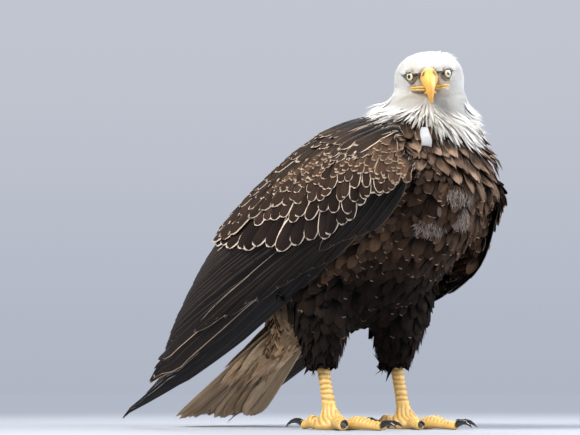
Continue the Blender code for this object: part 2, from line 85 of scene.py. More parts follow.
# How far the skin lies inside the solids' outer shape
HEAD_DEPTH, NECK_DEPTH, BODY_DEPTH, LEG_DEPTH = 0.0030, 0.0090, 0.0085, 0.0070
SKIN_VOXEL, SKIN_GROWTH = 0.0034, 0.0008
FLESH = ("head", "neck", "trunk", "tail_coverts", "thigh_left", "thigh_right",
         "wing_left_coverts", "wing_right_coverts")
TOES = ("inner", "middle", "outer", "hind")


# ---------------------------------------------------------------- small tools

def unit(v):
    v = np.asarray(v, float)
    return v / np.maximum(np.linalg.norm(v, axis=-1, keepdims=True), 1e-12)


def ease(low, high, value):
    """0 below low, 1 above high and smooth between."""
    t = np.clip((np.asarray(value, float) - low) / (high - low), 0.0, 1.0)
    return t * t * (3 - 2 * t)


def bell(*offsets):
    """1 where all the offsets are 0, and less further away."""
    return np.exp(-sum(offset ** 2 for offset in offsets))


def blend(a, b, share):
    share = np.asarray(share, float)[..., None]
    return np.asarray(a, float) * (1 - share) + np.asarray(b, float) * share


def painted(colour, *coats):
    """A colour under coats of other colours, each with the share of it that covers."""
    for paint, share in coats:
        colour = blend(colour, paint, share)
    return colour


def smoothed(values):
    """The values with each row but the ends drawn halfway to its two neighbours."""
    values[1:-1] = values[1:-1] * 0.5 + (values[:-2] + values[2:]) * 0.25
    return values


def waver(points, size, seed=0):
    """A smooth wandering value from -1 to 1 at each point, made of crossed waves."""
    points = np.asarray(points, float) / size
    turn = np.random.default_rng(400 + seed).normal(size=(5, 3))
    phase = np.random.default_rng(500 + seed).uniform(0, 6.28, 5)
    return sum(np.sin(points @ turn[k] + phase[k]) for k in range(5)) / 3.0


def fresh_draw():
    """A new source of random numbers, for one piece."""
    return np.random.default_rng(rng.integers(1 << 30))


def centre_of(node):
    low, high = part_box(node)
    return (low + high) / 2


def placed(name, data):
    """A new object in the scene that shows this mesh, lamp or lens."""
    if isinstance(data, bmesh.types.BMesh):
        mesh, data = data, bpy.data.meshes.new(name)
        mesh.to_mesh(data)
        mesh.free()
    obj = bpy.data.objects.new(name, data)
    bpy.context.scene.collection.objects.link(obj)
    return obj


def joined(objs):
    mesh = bmesh.new()
    for obj in objs:
        mesh.from_mesh(obj.data)
    return mesh


def settle(obj):
    """Applies the object's modifiers to its mesh."""
    shown = obj.evaluated_get(bpy.context.evaluated_depsgraph_get())
    data = bpy.data.meshes.new_from_object(shown)
    old = obj.data
    obj.modifiers.clear()
    obj.data = data
    bpy.data.meshes.remove(old)
    data.name = obj.name
    return data


def soften(obj, rounds):
    smooth = obj.modifiers.new("smooth", "SMOOTH")
    smooth.iterations, smooth.factor = rounds, 0.5
    return settle(obj)


def remeshed(obj, voxel, rounds):
    """The object's outer shape in small even faces, softened."""
    remesh = obj.modifiers.new("remesh", "REMESH")
    remesh.mode, remesh.voxel_size = "VOXEL", voxel
    return soften(obj, rounds)


def cast_of(name, nodes, voxel, rounds):
    """One remeshed object from copies of these nodes, and its mesh."""
    obj = placed(name, joined([frame["nodes"][node] for node in nodes]))
    return obj, remeshed(obj, voxel, rounds)


def points_of(data):
    found = np.empty(len(data.vertices) * 3)
    data.vertices.foreach_get("co", found)
    return found.reshape(-1, 3)


def normals_of(data):
    found = np.empty(len(data.vertices) * 3)
    data.vertex_normals.foreach_get("vector", found)
    return found.reshape(-1, 3)


def put(data, places):
    data.vertices.foreach_set("co", places.ravel())
    data.shade_smooth()


def tree_of(objs):
    mesh = joined(objs)
    tree = BVHTree.FromBMesh(mesh)
    mesh.free()
    return tree


def paint(obj, colours):
    """Stores a colour for each vertex, or one for all."""
    layer = obj.data.attributes.new("tint", "FLOAT_COLOR", "POINT")
    full = np.ones((len(obj.data.vertices), 4), np.float32)
    full[:, :3] = colours
    layer.data.foreach_set("color", full.ravel())


def rode(obj, material, replaces=()):
    """Puts a finished piece in the model: its body, material and the nodes it stands for."""
    obj.data.materials.clear()
    obj.data.materials.append(material)
    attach(obj, "root")
    if replaces:
        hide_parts(*replaces)


# ---------------------------------------------------------------- places on the bird

# The bird faces -Y. The soles and the eyes fix the places of all else.
LEG_SIDE = 0.056
SOLE = Vector(frame["record"]["mounts"][0]["pos_m"])
HOME = SOLE - Vector((LEG_SIDE, 0, 0))
# The way along the breast, from its right end to its left, level
BREAST_WAY = np.array([math.sqrt(0.5), -math.sqrt(0.5)])

SIGN = {"left": 1.0, "right": -1.0}
EYES = {side: centre_of("eye_" + side) for side in SIGN}
EYE_AHEAD, EYE_UP, BILL_DIP, EYE_RADIUS = 0.0270, 0.0080, 0.215, 0.0098
EYE_OUT = (EYES["left"] - EYES["right"]).length / 2
BETWEEN_EYES = (EYES["left"] + EYES["right"]) / 2
HEAD_SIDE = (EYES["left"] - EYES["right"]).normalized()
_to_bill = centre_of("cere") - BETWEEN_EYES
_to_bill = (_to_bill - HEAD_SIDE * _to_bill.dot(HEAD_SIDE)).normalized()
_over = _to_bill.cross(HEAD_SIDE)
_over = _over if _over.z > 0 else -_over
HEAD_AHEAD = (_to_bill * math.cos(BILL_DIP) + _over * math.sin(BILL_DIP)).normalized()
HEAD_UP = HEAD_AHEAD.cross(HEAD_SIDE)
HEAD_UP = HEAD_UP if HEAD_UP.z > 0 else -HEAD_UP
HEAD_TURN = np.array([HEAD_SIDE, HEAD_AHEAD, HEAD_UP])
SKULL = BETWEEN_EYES - HEAD_AHEAD * EYE_AHEAD - HEAD_UP * EYE_UP
NECK_AXIS = np.array(SKULL) + np.array([0.0, 0.016, 0.0])

# Where each eye looks, out, ahead and up, and how far its lids open, in degrees
GAZE_OUT, GAZE_AHEAD, GAZE_UP, LID_ANGLE = 0.64, 0.77, -0.02, 38.0
GAZE, EYE_SPOT = unit([GAZE_OUT, GAZE_AHEAD, GAZE_UP]), np.array([EYE_OUT, EYE_AHEAD, EYE_UP])
# The skin lies close over each eyeball within the first of these, and the socket ends at the second
SOCKET_REACH, SOCKET_WIDE, SOCKET_BACK = 0.0090, 0.017, -0.009
# The brow's lower edge over each eye: ahead, and up
BROW_LINE = ((0.0150, 0.0265, 0.0350, 0.0410, 0.0480), (0.0132, 0.0124, 0.0112, 0.0112, 0.0112))
BROW_WIDE, BROW_RISE, BROW_HOOD, LORE_DEPTH = 0.0090, 0.0072, 0.0016, 0.0030
BROW_WAY, LORE_WAY = np.array([0.52, 0.80, -0.20]), np.array([0.70, 0.70, 0.0])
FACE_FROM, FACE_REACH = 0.004, 0.066
# How far under the skull the white cape ends, from the right of its back round to the left of its front
CAPE_ENDS = ((-1.0, -0.5, 0.0, 0.5, 0.8, 0.93, 1.0), (0.042, 0.049, 0.050, 0.067, 0.073, 0.055, 0.032))
# The lips: their height, how far ahead they start and end, and their reach from the bill's side out
GAPE_UP, GAPE_START, GAPE_CORNER = -0.0088, 0.0425, 0.0290
GAPE_IN, GAPE_OUT, GAPE_PROUD, GAPE_FLANGE = 0.0055, 0.0264, 0.0006, 0.35
# Grey down shows through on the breast: each patch's place along the breast, height and size
DOWN_PATCHES = ((0.099, 0.309, 0.021, 0.011), (0.062, 0.270, 0.019, 0.009), (0.104, 0.282, 0.007, 0.014))


def on_head(side, ahead, up):
    """The place that lies this far to the head's left, ahead of the skull and above it."""
    return SKULL + HEAD_SIDE * side + HEAD_AHEAD * ahead + HEAD_UP * up


def head_places(points):
    """The same three distances, as three rows, for many points."""
    return HEAD_TURN @ (np.asarray(points, float) - np.array(SKULL)).T


def home_places(points):
    """How far left of the feet, back and up many points are, as three rows."""
    return (np.asarray(points, float) - np.array(HOME)).T


def skull_reach(points):
    return np.linalg.norm(head_places(points), axis=0)


def cape_way(points):
    """Where round the neck: -1 at the right of its back, 1 at the left of its front."""
    return unit(np.asarray(points, float)[:, :2] - NECK_AXIS[:2]) @ BREAST_WAY


def cape_edge(points):
    """The height at which white turns to brown, round the neck."""
    return SKULL.z - np.interp(cape_way(points), *CAPE_ENDS) + 0.005 * waver(points, 0.009, 3)


def whiteness(points):
    """1 on the white head and cape, 0 on the brown body."""
    return ease(-0.004, 0.004, np.asarray(points, float)[:, 2] - cape_edge(points))


def over_brow(ahead, up):
    return up - np.interp(ahead, *BROW_LINE)


def off_gaze(place):
    """How far along the eye's axis, and the rest of the way off it, on the head's left half."""
    away = place - EYE_SPOT
    height = away @ GAZE
    return height, away - height[:, None] * GAZE


def gaze_of(side):
    return (HEAD_SIDE * SIGN[side] * GAZE_OUT + HEAD_AHEAD * GAZE_AHEAD + HEAD_UP * GAZE_UP).normalized()


def down_patch(points):
    x, y, height = home_places(points)
    along, ahead = np.stack([x, y], -1) @ BREAST_WAY, -(x + y) * math.sqrt(0.5)
    found = np.max([bell((along - place) / wide, (height - high) / tall)
                    for place, high, wide, tall in DOWN_PATCHES], axis=0)
    return found * ease(0.05, 0.08, ahead) * (1 + 0.35 * waver(points, 0.008, 7))


def body_colour(points):
    """Brown, with painted shade darker towards the legs, warmer at the collar and the wings' front edges,
    pale at the tail.
    """
    out, back, height = home_places(points)
    out, drift = np.abs(out), waver(points, 0.022, 1)
    edge = ease(0.074, 0.084, out) * ease(0.13, 0.09, back) * ease(0.37, 0.34, height)
    return painted(
        blend(BREAST_BROWN, BREAST_UMBER, ease(-0.6, 0.8, drift)),
        # painted shade: the lower body darkens towards the legs, under the bird
        (BELLY_SHADE, ease(0.280, 0.205, height + 0.014 * drift) * 0.95),
        (COLLAR_BROWN, ease(0.315, 0.350, height + 0.01 * drift) * ease(0.03, -0.05, back) * 0.8),
        (DOWN_GREY, ease(0.30, 0.60, down_patch(points)) * 0.95),
        (EDGE_BROWN, edge * ease(0.205, 0.240, height)),
        (blend(TAIL_CREAM, TAIL_TAN, ease(-0.5, 0.8, drift)),
         ease(0.115, 0.160, back) * ease(0.245, 0.205, height + 0.3 * out)))


def head_colour(points):
    """White, with painted shade on the throat under the bill, bare skin before the eyes, dark lids, and
    painted shadow under the brows, between the lips and under them.
    """
    side, ahead, up = head_places(points)
    aside, fine = np.abs(side), waver(points, 0.009, 2)
    # the throat is darkened with painted shade where the bill shades it
    throat = bell(side / 0.024, (up + 0.040) / 0.022) * (ahead > 0)
    lore = bell((aside - 0.0170) / 0.0120, (ahead - 0.0400) / 0.0100, (up - 0.0010) / 0.0110)
    # painted shadow: a dark line under the brow's ledge, from the eye to the cere, in the lids' dark colour
    brow_shadow = bell((over_brow(ahead, up) + 0.0012) / 0.0011)
    brow_shadow = brow_shadow * ease(0.030, 0.033, ahead) * ease(0.050, 0.044, ahead)
    lips = ease(GAPE_CORNER - 0.002, GAPE_CORNER + 0.004, ahead) * (aside > 0.004)
    # round the lids: a halo on the bill's side, and a rim drawn out that way
    off = off_gaze(np.stack([aside, ahead, up], -1))[1]
    reach, front = np.linalg.norm(off, axis=1), ahead > 0.02
    inward = ease(0.0, 0.006, -off[:, 0]) * bell(off[:, 2] / 0.0022)
    halo = ease(0.0092, 0.0074, reach) * front * ease(-0.004, 0.003, -off[:, 0])
    rim = ease(0.0069 + 0.0035 * inward, 0.0060 + 0.0025 * inward, reach)
    return painted(
        WHITE,
        (IVORY, np.clip(0.06 + 0.10 * fine, 0, 0.8)),
        (THROAT_SHADE, np.clip(throat * (0.75 + 0.2 * fine), 0, 0.85)),
        # the upper lore is darkened by a painted shade under the brow
        (LORE * blend((1, 1, 1), LORE_BROW_SHADE, ease(0.006, 0.012, up)), np.clip(lore * 1.8, 0, 0.95)),
        (LID_DARK_AND_BROW_SHADE, np.clip(brow_shadow, 0, 0.85) * (aside > 0.006)),
        # painted shade in the line between the lips
        (MOUTH_SHADE, bell((up - GAPE_UP + 0.0018) / 0.0014) * lips * 0.9),
        # painted shadow under the lips
        (LORE * 1.15, bell((up - GAPE_UP + 0.0085) / 0.0042) * lips * 0.65),
        (LORE * 0.9, np.clip(halo, 0, 0.8)),
        (LID_DARK_AND_BROW_SHADE, np.clip(rim, 0, 0.95) * front))


def coat_colour(points):
    """The coat's colour at places on the skin: the same for the skin and for the feathers."""
    return blend(body_colour(points), head_colour(points), whiteness(points))


# ---------------------------------------------------------------- skin

def skin_depth(points):
    height = home_places(points)[2]
    depth = np.full(len(points), BODY_DEPTH)
    for deep, share in ((LEG_DEPTH, ease(0.20, 0.14, height)), (NECK_DEPTH, ease(0.330, 0.390, height)),
                        (HEAD_DEPTH, ease(0.072, 0.050, skull_reach(points)))):
        depth = depth + (deep - depth) * share
    return depth


def on_front(points):
    """The front of the head, which carries the smallest shapes."""
    return (head_places(points)[1] > FACE_FROM) & (skull_reach(points) < FACE_REACH)


def fine_front(obj, cuts):
    """Splits the faces of the head's front."""
    mesh = joined([obj])
    for _ in range(cuts):
        mesh.verts.ensure_lookup_table()
        near = on_front(np.array([v.co for v in mesh.verts]))
        edges = [e for e in mesh.edges if near[e.verts[0].index] and near[e.verts[1].index]]
        bmesh.ops.subdivide_edges(mesh, edges=edges, cuts=1, use_grid_fill=True)
    mesh.normal_update()
    mesh.to_mesh(obj.data)
    mesh.free()


def shape_face(places):
    """Sockets that meet the eyeballs at the lids, and a bony brow over each."""
    place = head_places(places).T
    sign = np.sign(place[:, :1])
    place[:, 0] = np.abs(place[:, 0])
    aside, ahead, up = place.T
    lore = bell((aside - 0.0200) / 0.0070, (ahead - 0.0400) / 0.0075, (up - 0.0030) / 0.0080)
    over = over_brow(ahead, up)
    ridge = ease(-0.0016, 0.0006, over) * bell(np.maximum(over, 0) / BROW_WIDE)
    ridge = ridge * ease(0.010, 0.020, ahead) * ease(0.004, 0.013, aside)
    place = place + BROW_WAY * (ridge * BROW_RISE)[:, None] - LORE_WAY * (lore * LORE_DEPTH)[:, None]
    height, off = off_gaze(place)
    reach = np.linalg.norm(off, axis=1)
    ball_face = np.sqrt(np.maximum(EYE_RADIUS ** 2 - reach ** 2, 0))
    brim = EYE_RADIUS * math.sin(math.radians(LID_ANGLE))
    # the skin lies close over the ball outside the lids, and eases away from it further out
    least = np.where(reach < SOCKET_REACH, ball_face + 0.0005,
                     math.sqrt(EYE_RADIUS ** 2 - SOCKET_REACH ** 2) - 1.1 * (reach - SOCKET_REACH))
    most = math.sqrt(EYE_RADIUS ** 2 - brim ** 2) + 0.0010 + 0.9 * (reach - brim)
    fresh = np.clip(height, least, np.maximum(most, least))
    hooded = ease(-0.0004, 0.0006, over_brow(place[:, 1], place[:, 2]))
    fresh = np.where(reach < brim, ball_face - 0.0012 + (0.0012 + BROW_HOOD) * hooded, fresh)
    near = (reach < SOCKET_WIDE) & (height > SOCKET_BACK)
    place = np.where(near[:, None], place + (fresh - height)[:, None] * GAZE, place)
    place[:, :1] *= sign
    return np.array(SKULL) + place @ HEAD_TURN


def make_skin():
    """One skin through all the flesh, sunk by the coat's depth, with sockets and brows."""
    skin = placed("skin", joined([frame["nodes"][node] for node in FLESH]))
    put(skin.data, points_of(skin.data) + normals_of(skin.data) * SKIN_GROWTH)
    data = remeshed(skin, SKIN_VOXEL, 6)
    places = points_of(data)
    put(data, places - normals_of(data) * skin_depth(places)[:, None])
    soften(skin, 4)
    fine_front(skin, 2)
    places = points_of(skin.data)
    front = on_front(places)
    places[front] = shape_face(places[front])
    put(skin.data, places)
    return skin


def unwrap(obj):
    """An unwrap of the shape by the way its faces look, packed in one square."""
    for other in bpy.context.view_layer.objects:
        other.select_set(False)
    bpy.context.view_layer.objects.active = obj
    obj.select_set(True)
    obj.data.uv_layers.new(name="OFBake")
    bpy.ops.object.mode_set(mode="EDIT")
    bpy.ops.mesh.select_all(action="SELECT")
    bpy.ops.uv.smart_project(angle_limit=math.radians(66), island_margin=0.004)
    bpy.ops.object.mode_set(mode="OBJECT")
    obj.select_set(False)


# ---------------------------------------------------------------- feathers

# A feather's half width from root to tip, as shares of its widest
SHAPES = {
    "rounded": ((0, 0.30), (0.22, 0.72), (0.50, 0.98), (0.74, 1.0), (0.90, 0.76), (1, 0.30)),
    "loose": ((0, 0.30), (0.25, 0.80), (0.55, 1.0), (0.80, 0.80), (0.93, 0.48), (1, 0.14)),
    "lance": ((0, 0.42), (0.25, 0.95), (0.50, 1.0), (0.75, 0.66), (0.92, 0.28), (1, 0.06)),
    "covert": ((0, 0.35), (0.25, 0.80), (0.55, 1.0), (0.80, 0.97), (0.90, 0.82), (0.96, 0.58), (1, 0.16)),
    "square": ((0, 0.60), (0.20, 0.85), (0.60, 0.96), (0.94, 1.0), (1, 0.94)),
    "flight": ((0, 0.22), (0.08, 0.60), (0.20, 0.90), (0.60, 1.0), (0.86, 0.90), (0.96, 0.55), (1, 0.16)),
    "pointed": ((0, 0.25), (0.10, 0.70), (0.30, 1.0), (0.55, 0.92), (0.80, 0.55), (0.95, 0.22), (1, 0.06)),
    "rectrix": ((0, 0.25), (0.12, 0.60), (0.45, 0.92), (0.80, 1.0), (0.92, 0.94), (0.97, 0.76), (1, 0.42)),
}
# How thick a feather is, and how wide a small one's patch is on the unwrap
VANE_THICK, TUFT_PATCH = 0.0005, 0.003


def widths(shape, stops):
    return np.interp(stops, *np.array(SHAPES[shape]).T)


def blade_faces(rows, columns):
    """The quads of one closed blade: an upper face, and an under face on the same border."""
    inner = {}
    for i in range(1, rows - 1):
        for j in range(1, columns - 1):
            inner[i, j] = rows * columns + len(inner)
    quads = []
    for i in range(rows - 1):
        for j in range(columns - 1):
            ring = ((i, j), (i, j + 1), (i + 1, j + 1), (i + 1, j))
            quads.append([a * columns + b for a, b in ring])
            quads.append([inner.get((a, b), a * columns + b) for a, b in reversed(ring)])
    return np.array(quads), len(inner)


def stops_of(rows, crowd=1.0):
    """Shares of a feather's length for its rows, closer together towards the tip as crowd grows."""
    return 1 - (1 - np.linspace(0, 1, rows)) ** crowd


def squared(spine, over, roll=None):
    """Directions across each feather and out of it, square to its spine and rolled a little."""
    forward = unit(np.gradient(spine, axis=1))
    side = unit(np.cross(forward, over))
    if roll is not None:
        side = unit(side + over * roll)
    return side, unit(np.cross(side, forward))


def blades(name, spine, side, over, half, tint, *, columns=5, cup=0.18, ridge=0.0, ragged=0.0,
           thick=VANE_THICK, patch=None, crowd=1.0, hand=1.0):
    """Many feathers as one mesh. spine, side and over give places and directions along each
    feather, half its half widths, and tint its colour and how pale its border is."""
    count, rows = spine.shape[:2]
    across = np.linspace(-1, 1, columns)
    stops = stops_of(rows, crowd)
    draw = fresh_draw()
    seeds = draw.random(count)
    top = spine[:, :, None] + side[:, :, None] * (half[:, :, None] * across)[..., None]
    sink = half[:, :, None] * cup * across ** 2 - ridge * np.exp(-(across / 0.3) ** 2)
    top = top - over[:, :, None] * sink[..., None]
    if ragged:
        step = np.diff(spine, axis=1, prepend=spine[:, :1])[:, :, None]
        slip = draw.normal(0, ragged, (count, 1, columns)) * (stops[None, :, None] ** 3)
        top = top + step * slip[..., None]
    under = top[:, 1:-1, 1:-1] - over[:, 1:-1, None] * thick
    places = np.concatenate([top.reshape(count, -1, 3), under.reshape(count, -1, 3)], axis=1)
    quads, inner = blade_faces(rows, columns)
    per = rows * columns + inner
    corners = (quads[None] + (np.arange(count) * per)[:, None, None]).reshape(-1)

    data = bpy.data.meshes.new(name)
    data.vertices.add(count * per)
    data.vertices.foreach_set("co", places.reshape(-1))
    data.loops.add(len(corners))
    data.loops.foreach_set("vertex_index", corners.astype(np.int32))
    data.polygons.add(len(corners) // 4)
    data.polygons.foreach_set("loop_start", np.arange(0, len(corners), 4, dtype=np.int32))
    data.update(calc_edges=True)

    # stored at each point: the share of the length, the place across, and the feather's own number
    one_t, one_c = (np.concatenate([grid.ravel(), grid[1:-1, 1:-1].ravel()])
                    for grid in np.meshgrid(stops, across, indexing="ij"))
    lay = np.empty((count, per, 3), np.float32)
    lay[..., 0], lay[..., 1], lay[..., 2] = one_t, one_c * hand, seeds[:, None]
    data.attributes.new("lay", "FLOAT_VECTOR", "POINT").data.foreach_set("vector", lay.ravel())
    tint = np.broadcast_to(np.asarray(tint, np.float32)[:, None], (count, per, 4))
    data.attributes.new("tint", "FLOAT_COLOR", "POINT").data.foreach_set("color", tint.ravel())
    if patch is None:
        # room for every large feather, side by side
        side_n = int(math.ceil(math.sqrt(count)))
        cell = np.stack(np.divmod(np.arange(count), side_n), -1) / side_n
        uv = cell[:, None] + np.stack([0.5 + 0.46 * one_c, 0.04 + 0.92 * one_t], -1)[None] / side_n
    else:
        spot = np.stack([one_c * TUFT_PATCH / 2, (one_t - 0.5) * TUFT_PATCH], -1)
        uv = np.clip(patch[:, None] + spot[None], 0.0, 1.0)
    layer = data.uv_layers.new(name="OFBake")
    layer.data.foreach_set("uv", uv.reshape(-1, 2)[corners].astype(np.float32).ravel())
    data.shade_smooth()
    data.set_sharp_from_angle(angle=math.radians(70))
    return placed(name, data)


class Ground:
    """The skin as something feathers grow on: triangles, smooth normals and its unwrap."""

    def __init__(self, obj):
        data = obj.data
        data.calc_loop_triangles()
        corner, loops = np.empty((2, len(data.loop_triangles) * 3), np.int32)
        data.loop_triangles.foreach_get("vertices", corner)
        data.loop_triangles.foreach_get("loops", loops)
        uv = np.empty(len(data.loops) * 2)
        data.uv_layers["OFBake"].data.foreach_get("uv", uv)
        self.places, self.corner = points_of(data), corner.reshape(-1, 3)
        self.uv = uv.reshape(-1, 2)[loops.reshape(-1, 3)]
        self.tree = BVHTree.FromPolygons(self.places.tolist(), self.corner.tolist())
        self.facing = unit(normals_of(data)[self.corner].mean(1))

    def scatter(self, wanted, spacing):
        """Places on the skin at about this spacing, where wanted(points) is true."""
        tri = self.places[self.corner]
        index = np.nonzero(wanted(tri.mean(1)))[0]
        tri = tri[index]
        area = np.linalg.norm(np.cross(tri[:, 1] - tri[:, 0], tri[:, 2] - tri[:, 0]), axis=1) / 2
        draw = fresh_draw()
        tries = int(area.sum() / spacing ** 2 * 7)
        chosen = draw.choice(len(tri), tries, p=area / area.sum())
        a, b = draw.random((2, tries))
        flip = a + b > 1
        a[flip], b[flip] = 1 - a[flip], 1 - b[flip]
        bary = np.stack([1 - a - b, a, b], -1)
        points = (tri[chosen] * bary[..., None]).sum(1)
        # keep a place only where no kept one is nearer than the spacing
        cells, kept = {}, []
        keys = np.floor(points / spacing).astype(int).tolist()
        for k, (p, (i, j, h)) in enumerate(zip(points.tolist(), keys)):
            around = ((i + x, j + y, h + z) for x in (-1, 0, 1) for y in (-1, 0, 1) for z in (-1, 0, 1))
            if not any(math.dist(p, q) < spacing for key in around for q in cells.get(key, ())):
                cells.setdefault((i, j, h), []).append(p)
                kept.append(k)
        face = index[chosen[kept]]
        return points[kept], self.facing[face], (self.uv[face] * bary[kept][..., None]).sum(1)

    def lie(self, roots, heading, length, rows, lift):
        """Lays a line from each root along the skin. lift gives its height at each stop."""
        spine, over = np.empty((2, len(roots), rows, 3))
        for f, (place, way) in enumerate(zip(roots, heading)):
            step = length[f] / (rows - 1)
            for i in range(rows):
                found, _, face, _ = self.tree.find_nearest(place.tolist())
                spine[f, i], over[f, i] = found, self.facing[face]
                way = unit(way - over[f, i] * (way @ over[f, i]))
                place = spine[f, i] + way * step
        # soften the normals along each feather
        over = unit(smoothed(over.swapaxes(0, 1)).swapaxes(0, 1))
        spine = spine + over * lift[:, :, None]
        return (spine, *squared(spine, over))


def tangent(way, normals):
    """The part of a direction that lies along the skin."""
    way = np.asarray(way, float)
    return unit(way - normals * (way * normals).sum(-1, keepdims=True))


def coat_way(points, normals):
    """The way the feathers lie: back from the bill, down the neck, and back to the tail."""
    height = home_places(points)[2]
    body, leg, down = (tangent((0.0, *way), normals) for way in ((0.70, -0.72), (0.22, -1.0), (0.10, -1.0)))
    body = unit(blend(body, leg, ease(0.22, 0.15, height)))
    neck = unit(blend(body, down, ease(0.33, 0.37, height)))
    from_bill = points - np.array(on_head(0, 0.046, -0.002))
    behind = ease(0.045, 0.085, np.linalg.norm(from_bill, axis=1))
    return tangent(unit(blend(tangent(from_bill, normals), neck, behind)), normals)


def turned(way, normals, angle):
    """Turns each direction round its normal."""
    return way * np.cos(angle)[:, None] + np.cross(normals, way) * np.sin(angle)[:, None]


def each(value, points):
    """The value at each point, from a number or from a function of the points."""
    return value(points) if callable(value) else np.full(len(points), value)


def coat(name, look, wanted, spacing, length, width, shape, *, rows=5, columns=5, lift=(0.0003, 0.003),
         stray=0.15, ragged=0.5, cup=0.18, fringe=0.0, flecked=1.0, vary=0.25, shade=0.12):
    """A patch of coat: feathers of one kind, laid along the skin."""
    roots, normals, spots = ground.scatter(wanted, spacing)
    count = len(roots)
    draw = fresh_draw()
    size = 1 + draw.uniform(-vary, vary, count)
    heading = turned(coat_way(roots, normals), normals, draw.normal(0, stray, count))
    stops = np.linspace(0, 1, rows)
    rise = lift[0] + (each(lift[1], roots) * draw.uniform(0.6, 1.4, count))[:, None] * stops ** 1.4
    spine, side, over = ground.lie(roots, heading, each(length, roots) * size, rows, rise)
    tone = coat_colour(roots) * (1 + draw.normal(0, shade, count))[:, None]
    rim = np.clip(fringe * draw.uniform(0.4, 1.3, count), 0, 1) * (draw.random(count) < flecked)
    tint = np.concatenate([np.clip(tone, 0.002, 0.95), rim[:, None]], axis=1)
    made = blades(name, spine, side, over, (size * width / 2)[:, None] * widths(shape, stops), tint,
                  columns=columns, cup=cup, ragged=ragged, patch=spots)
    rode(made, PLUMAGE[look])


# ---------------------------------------------------------------- materials

def wired(tree, kind, settings=None, **inputs):
    """A node with its settings and inputs. An input that is a socket is linked; i0 is input 0."""
    node = tree.nodes.new(kind)
    for key, value in (settings or {}).items():
        setattr(node, key, value)
    for key, value in inputs.items():
        socket = node.inputs[int(key[1:]) if key[1:].isdigit() else key.replace("_", " ")]
        if isinstance(value, bpy.types.NodeSocket):
            tree.links.new(value, socket)
        else:
            socket.default_value = value
    return node


def sums(tree, operation, *values, clamp=False):
    return wired(tree, "ShaderNodeMath", {"operation": operation, "use_clamp": clamp},
                 **{f"i{k}": value for k, value in enumerate(values)}).outputs[0]


def ramp(tree, value, low, high):
    """0 below low, 1 above high and smooth between."""
    settings = {"interpolation_type": "SMOOTHSTEP"}
    return wired(tree, "ShaderNodeMapRange", settings, i0=value, i1=low, i2=high).outputs[0]


def mixed(tree, share, a, b, kind="MIX"):
    settings = {"data_type": "RGBA", "blend_type": kind}
    return wired(tree, "ShaderNodeMix", settings, i0=share, i6=a, i7=b).outputs[2]


# What can be set on a feather's surface, and what it is where nothing is said
VANE_INPUTS = {
    "Barbs": 40.0, "Barb Depth": 0.2, "Fringe Colour": (0.6, 0.5, 0.4, 1), "Fringe Width": 0.2,
    "Shaft Colour": (0.05, 0.04, 0.03, 1), "Shaft Width": 0.04, "Shaft Show": 0.5, "Root Shade": 0.6,
    "Side Border": 1.0, "Shade Reach": 0.75, "Cloud": 0.4, "Tip Power": 1.6, "Side Shade": 0.0}
# How fast the noise on a vane changes along it, across it and from feather to feather
WANDER_FREQUENCY = (7.0, 2.5, 91.0)


def vane_group():
    """A feather's colour and relief from the place on its vane: barbs, shaft and pale border."""
    group = bpy.data.node_groups.new("Feather vane", "ShaderNodeTree")
    for label, value in VANE_INPUTS.items():
        kind = "NodeSocketColor" if isinstance(value, tuple) else "NodeSocketFloat"
        group.interface.new_socket(label, in_out="INPUT", socket_type=kind).default_value = value
    group.interface.new_socket("Colour", in_out="OUTPUT", socket_type="NodeSocketColor")
    group.interface.new_socket("Height", in_out="OUTPUT", socket_type="NodeSocketFloat")
    given, out = group.nodes.new("NodeGroupInput").outputs, group.nodes.new("NodeGroupOutput").inputs
    plus, less, times, per = (partial(sums, group, kind)
                              for kind in ("ADD", "SUBTRACT", "MULTIPLY", "DIVIDE"))

    lay = wired(group, "ShaderNodeAttribute", {"attribute_name": "lay"}).outputs["Vector"]
    tint = wired(group, "ShaderNodeAttribute", {"attribute_name": "tint"}).outputs
    far, across, _ = wired(group, "ShaderNodeSeparateXYZ", i0=lay).outputs
    aside = sums(group, "ABSOLUTE", across)
    spot = wired(group, "ShaderNodeVectorMath", {"operation": "MULTIPLY"}, i0=lay, i1=WANDER_FREQUENCY)
    wander = wired(group, "ShaderNodeTexNoise", Vector=spot.outputs[0], Scale=1.0, Detail=3.0).outputs[0]
    # barbs run out from the shaft and forward
    phase = plus(times(less(far, times(aside, 0.22)), given["Barbs"]), times(wander, 4.0))
    barb = plus(times(sums(group, "SINE", times(phase, 6.2832)), 0.6),
                times(sums(group, "SINE", times(phase, 1.7)), 0.4))
    # the border, wavering with the noise
    narrow = less(1.0, given["Fringe Width"])
    rim = sums(group, "MAXIMUM", times(aside, given["Side Border"]),
               sums(group, "POWER", far, given["Tip Power"]))
    rim = less(plus(rim, times(less(wander, 0.5), given["Fringe Width"])), narrow)
    rim = times(ramp(group, per(rim, given["Fringe Width"]), 0.0, 0.7), tint["Alpha"], clamp=True)
    line = times(ramp(group, per(aside, given["Shaft Width"]), 1.4, 0.6), given["Shaft Show"], clamp=True)
    # each feather is darker at its root and on one side, under the next
    root = ramp(group, per(far, given["Shade Reach"]), 1.0, 0.30)
    dark = times(less(1.0, times(root, given["Root Shade"])),
                 less(1.0, times(ramp(group, across, -0.75, 0.55), given["Side Shade"])))
    streak = plus(1.0, times(barb, given["Barb Depth"]))
    gain = times(times(dark, streak), plus(1.0, times(less(wander, 0.5), given["Cloud"])))
    grey = wired(group, "ShaderNodeCombineColor", i0=gain, i1=gain, i2=gain).outputs[0]
    colour = mixed(group, 1.0, tint["Color"], grey, "MULTIPLY")
    colour = mixed(group, rim, colour, given["Fringe Colour"])
    group.links.new(mixed(group, line, colour, given["Shaft Colour"]), out["Colour"])
    group.links.new(plus(times(barb, 0.5), times(line, 3.0)), out["Height"])
    return group


def material(name, **values):
    """A new material and its Principled BSDF with these values on its own sockets."""
    made = bpy.data.materials.new(name)
    made.use_nodes = True
    shader = made.node_tree.nodes["Principled BSDF"]
    for key, value in values.items():
        shader.inputs[key.replace("_", " ")].default_value = value
    return made, made.node_tree, shader


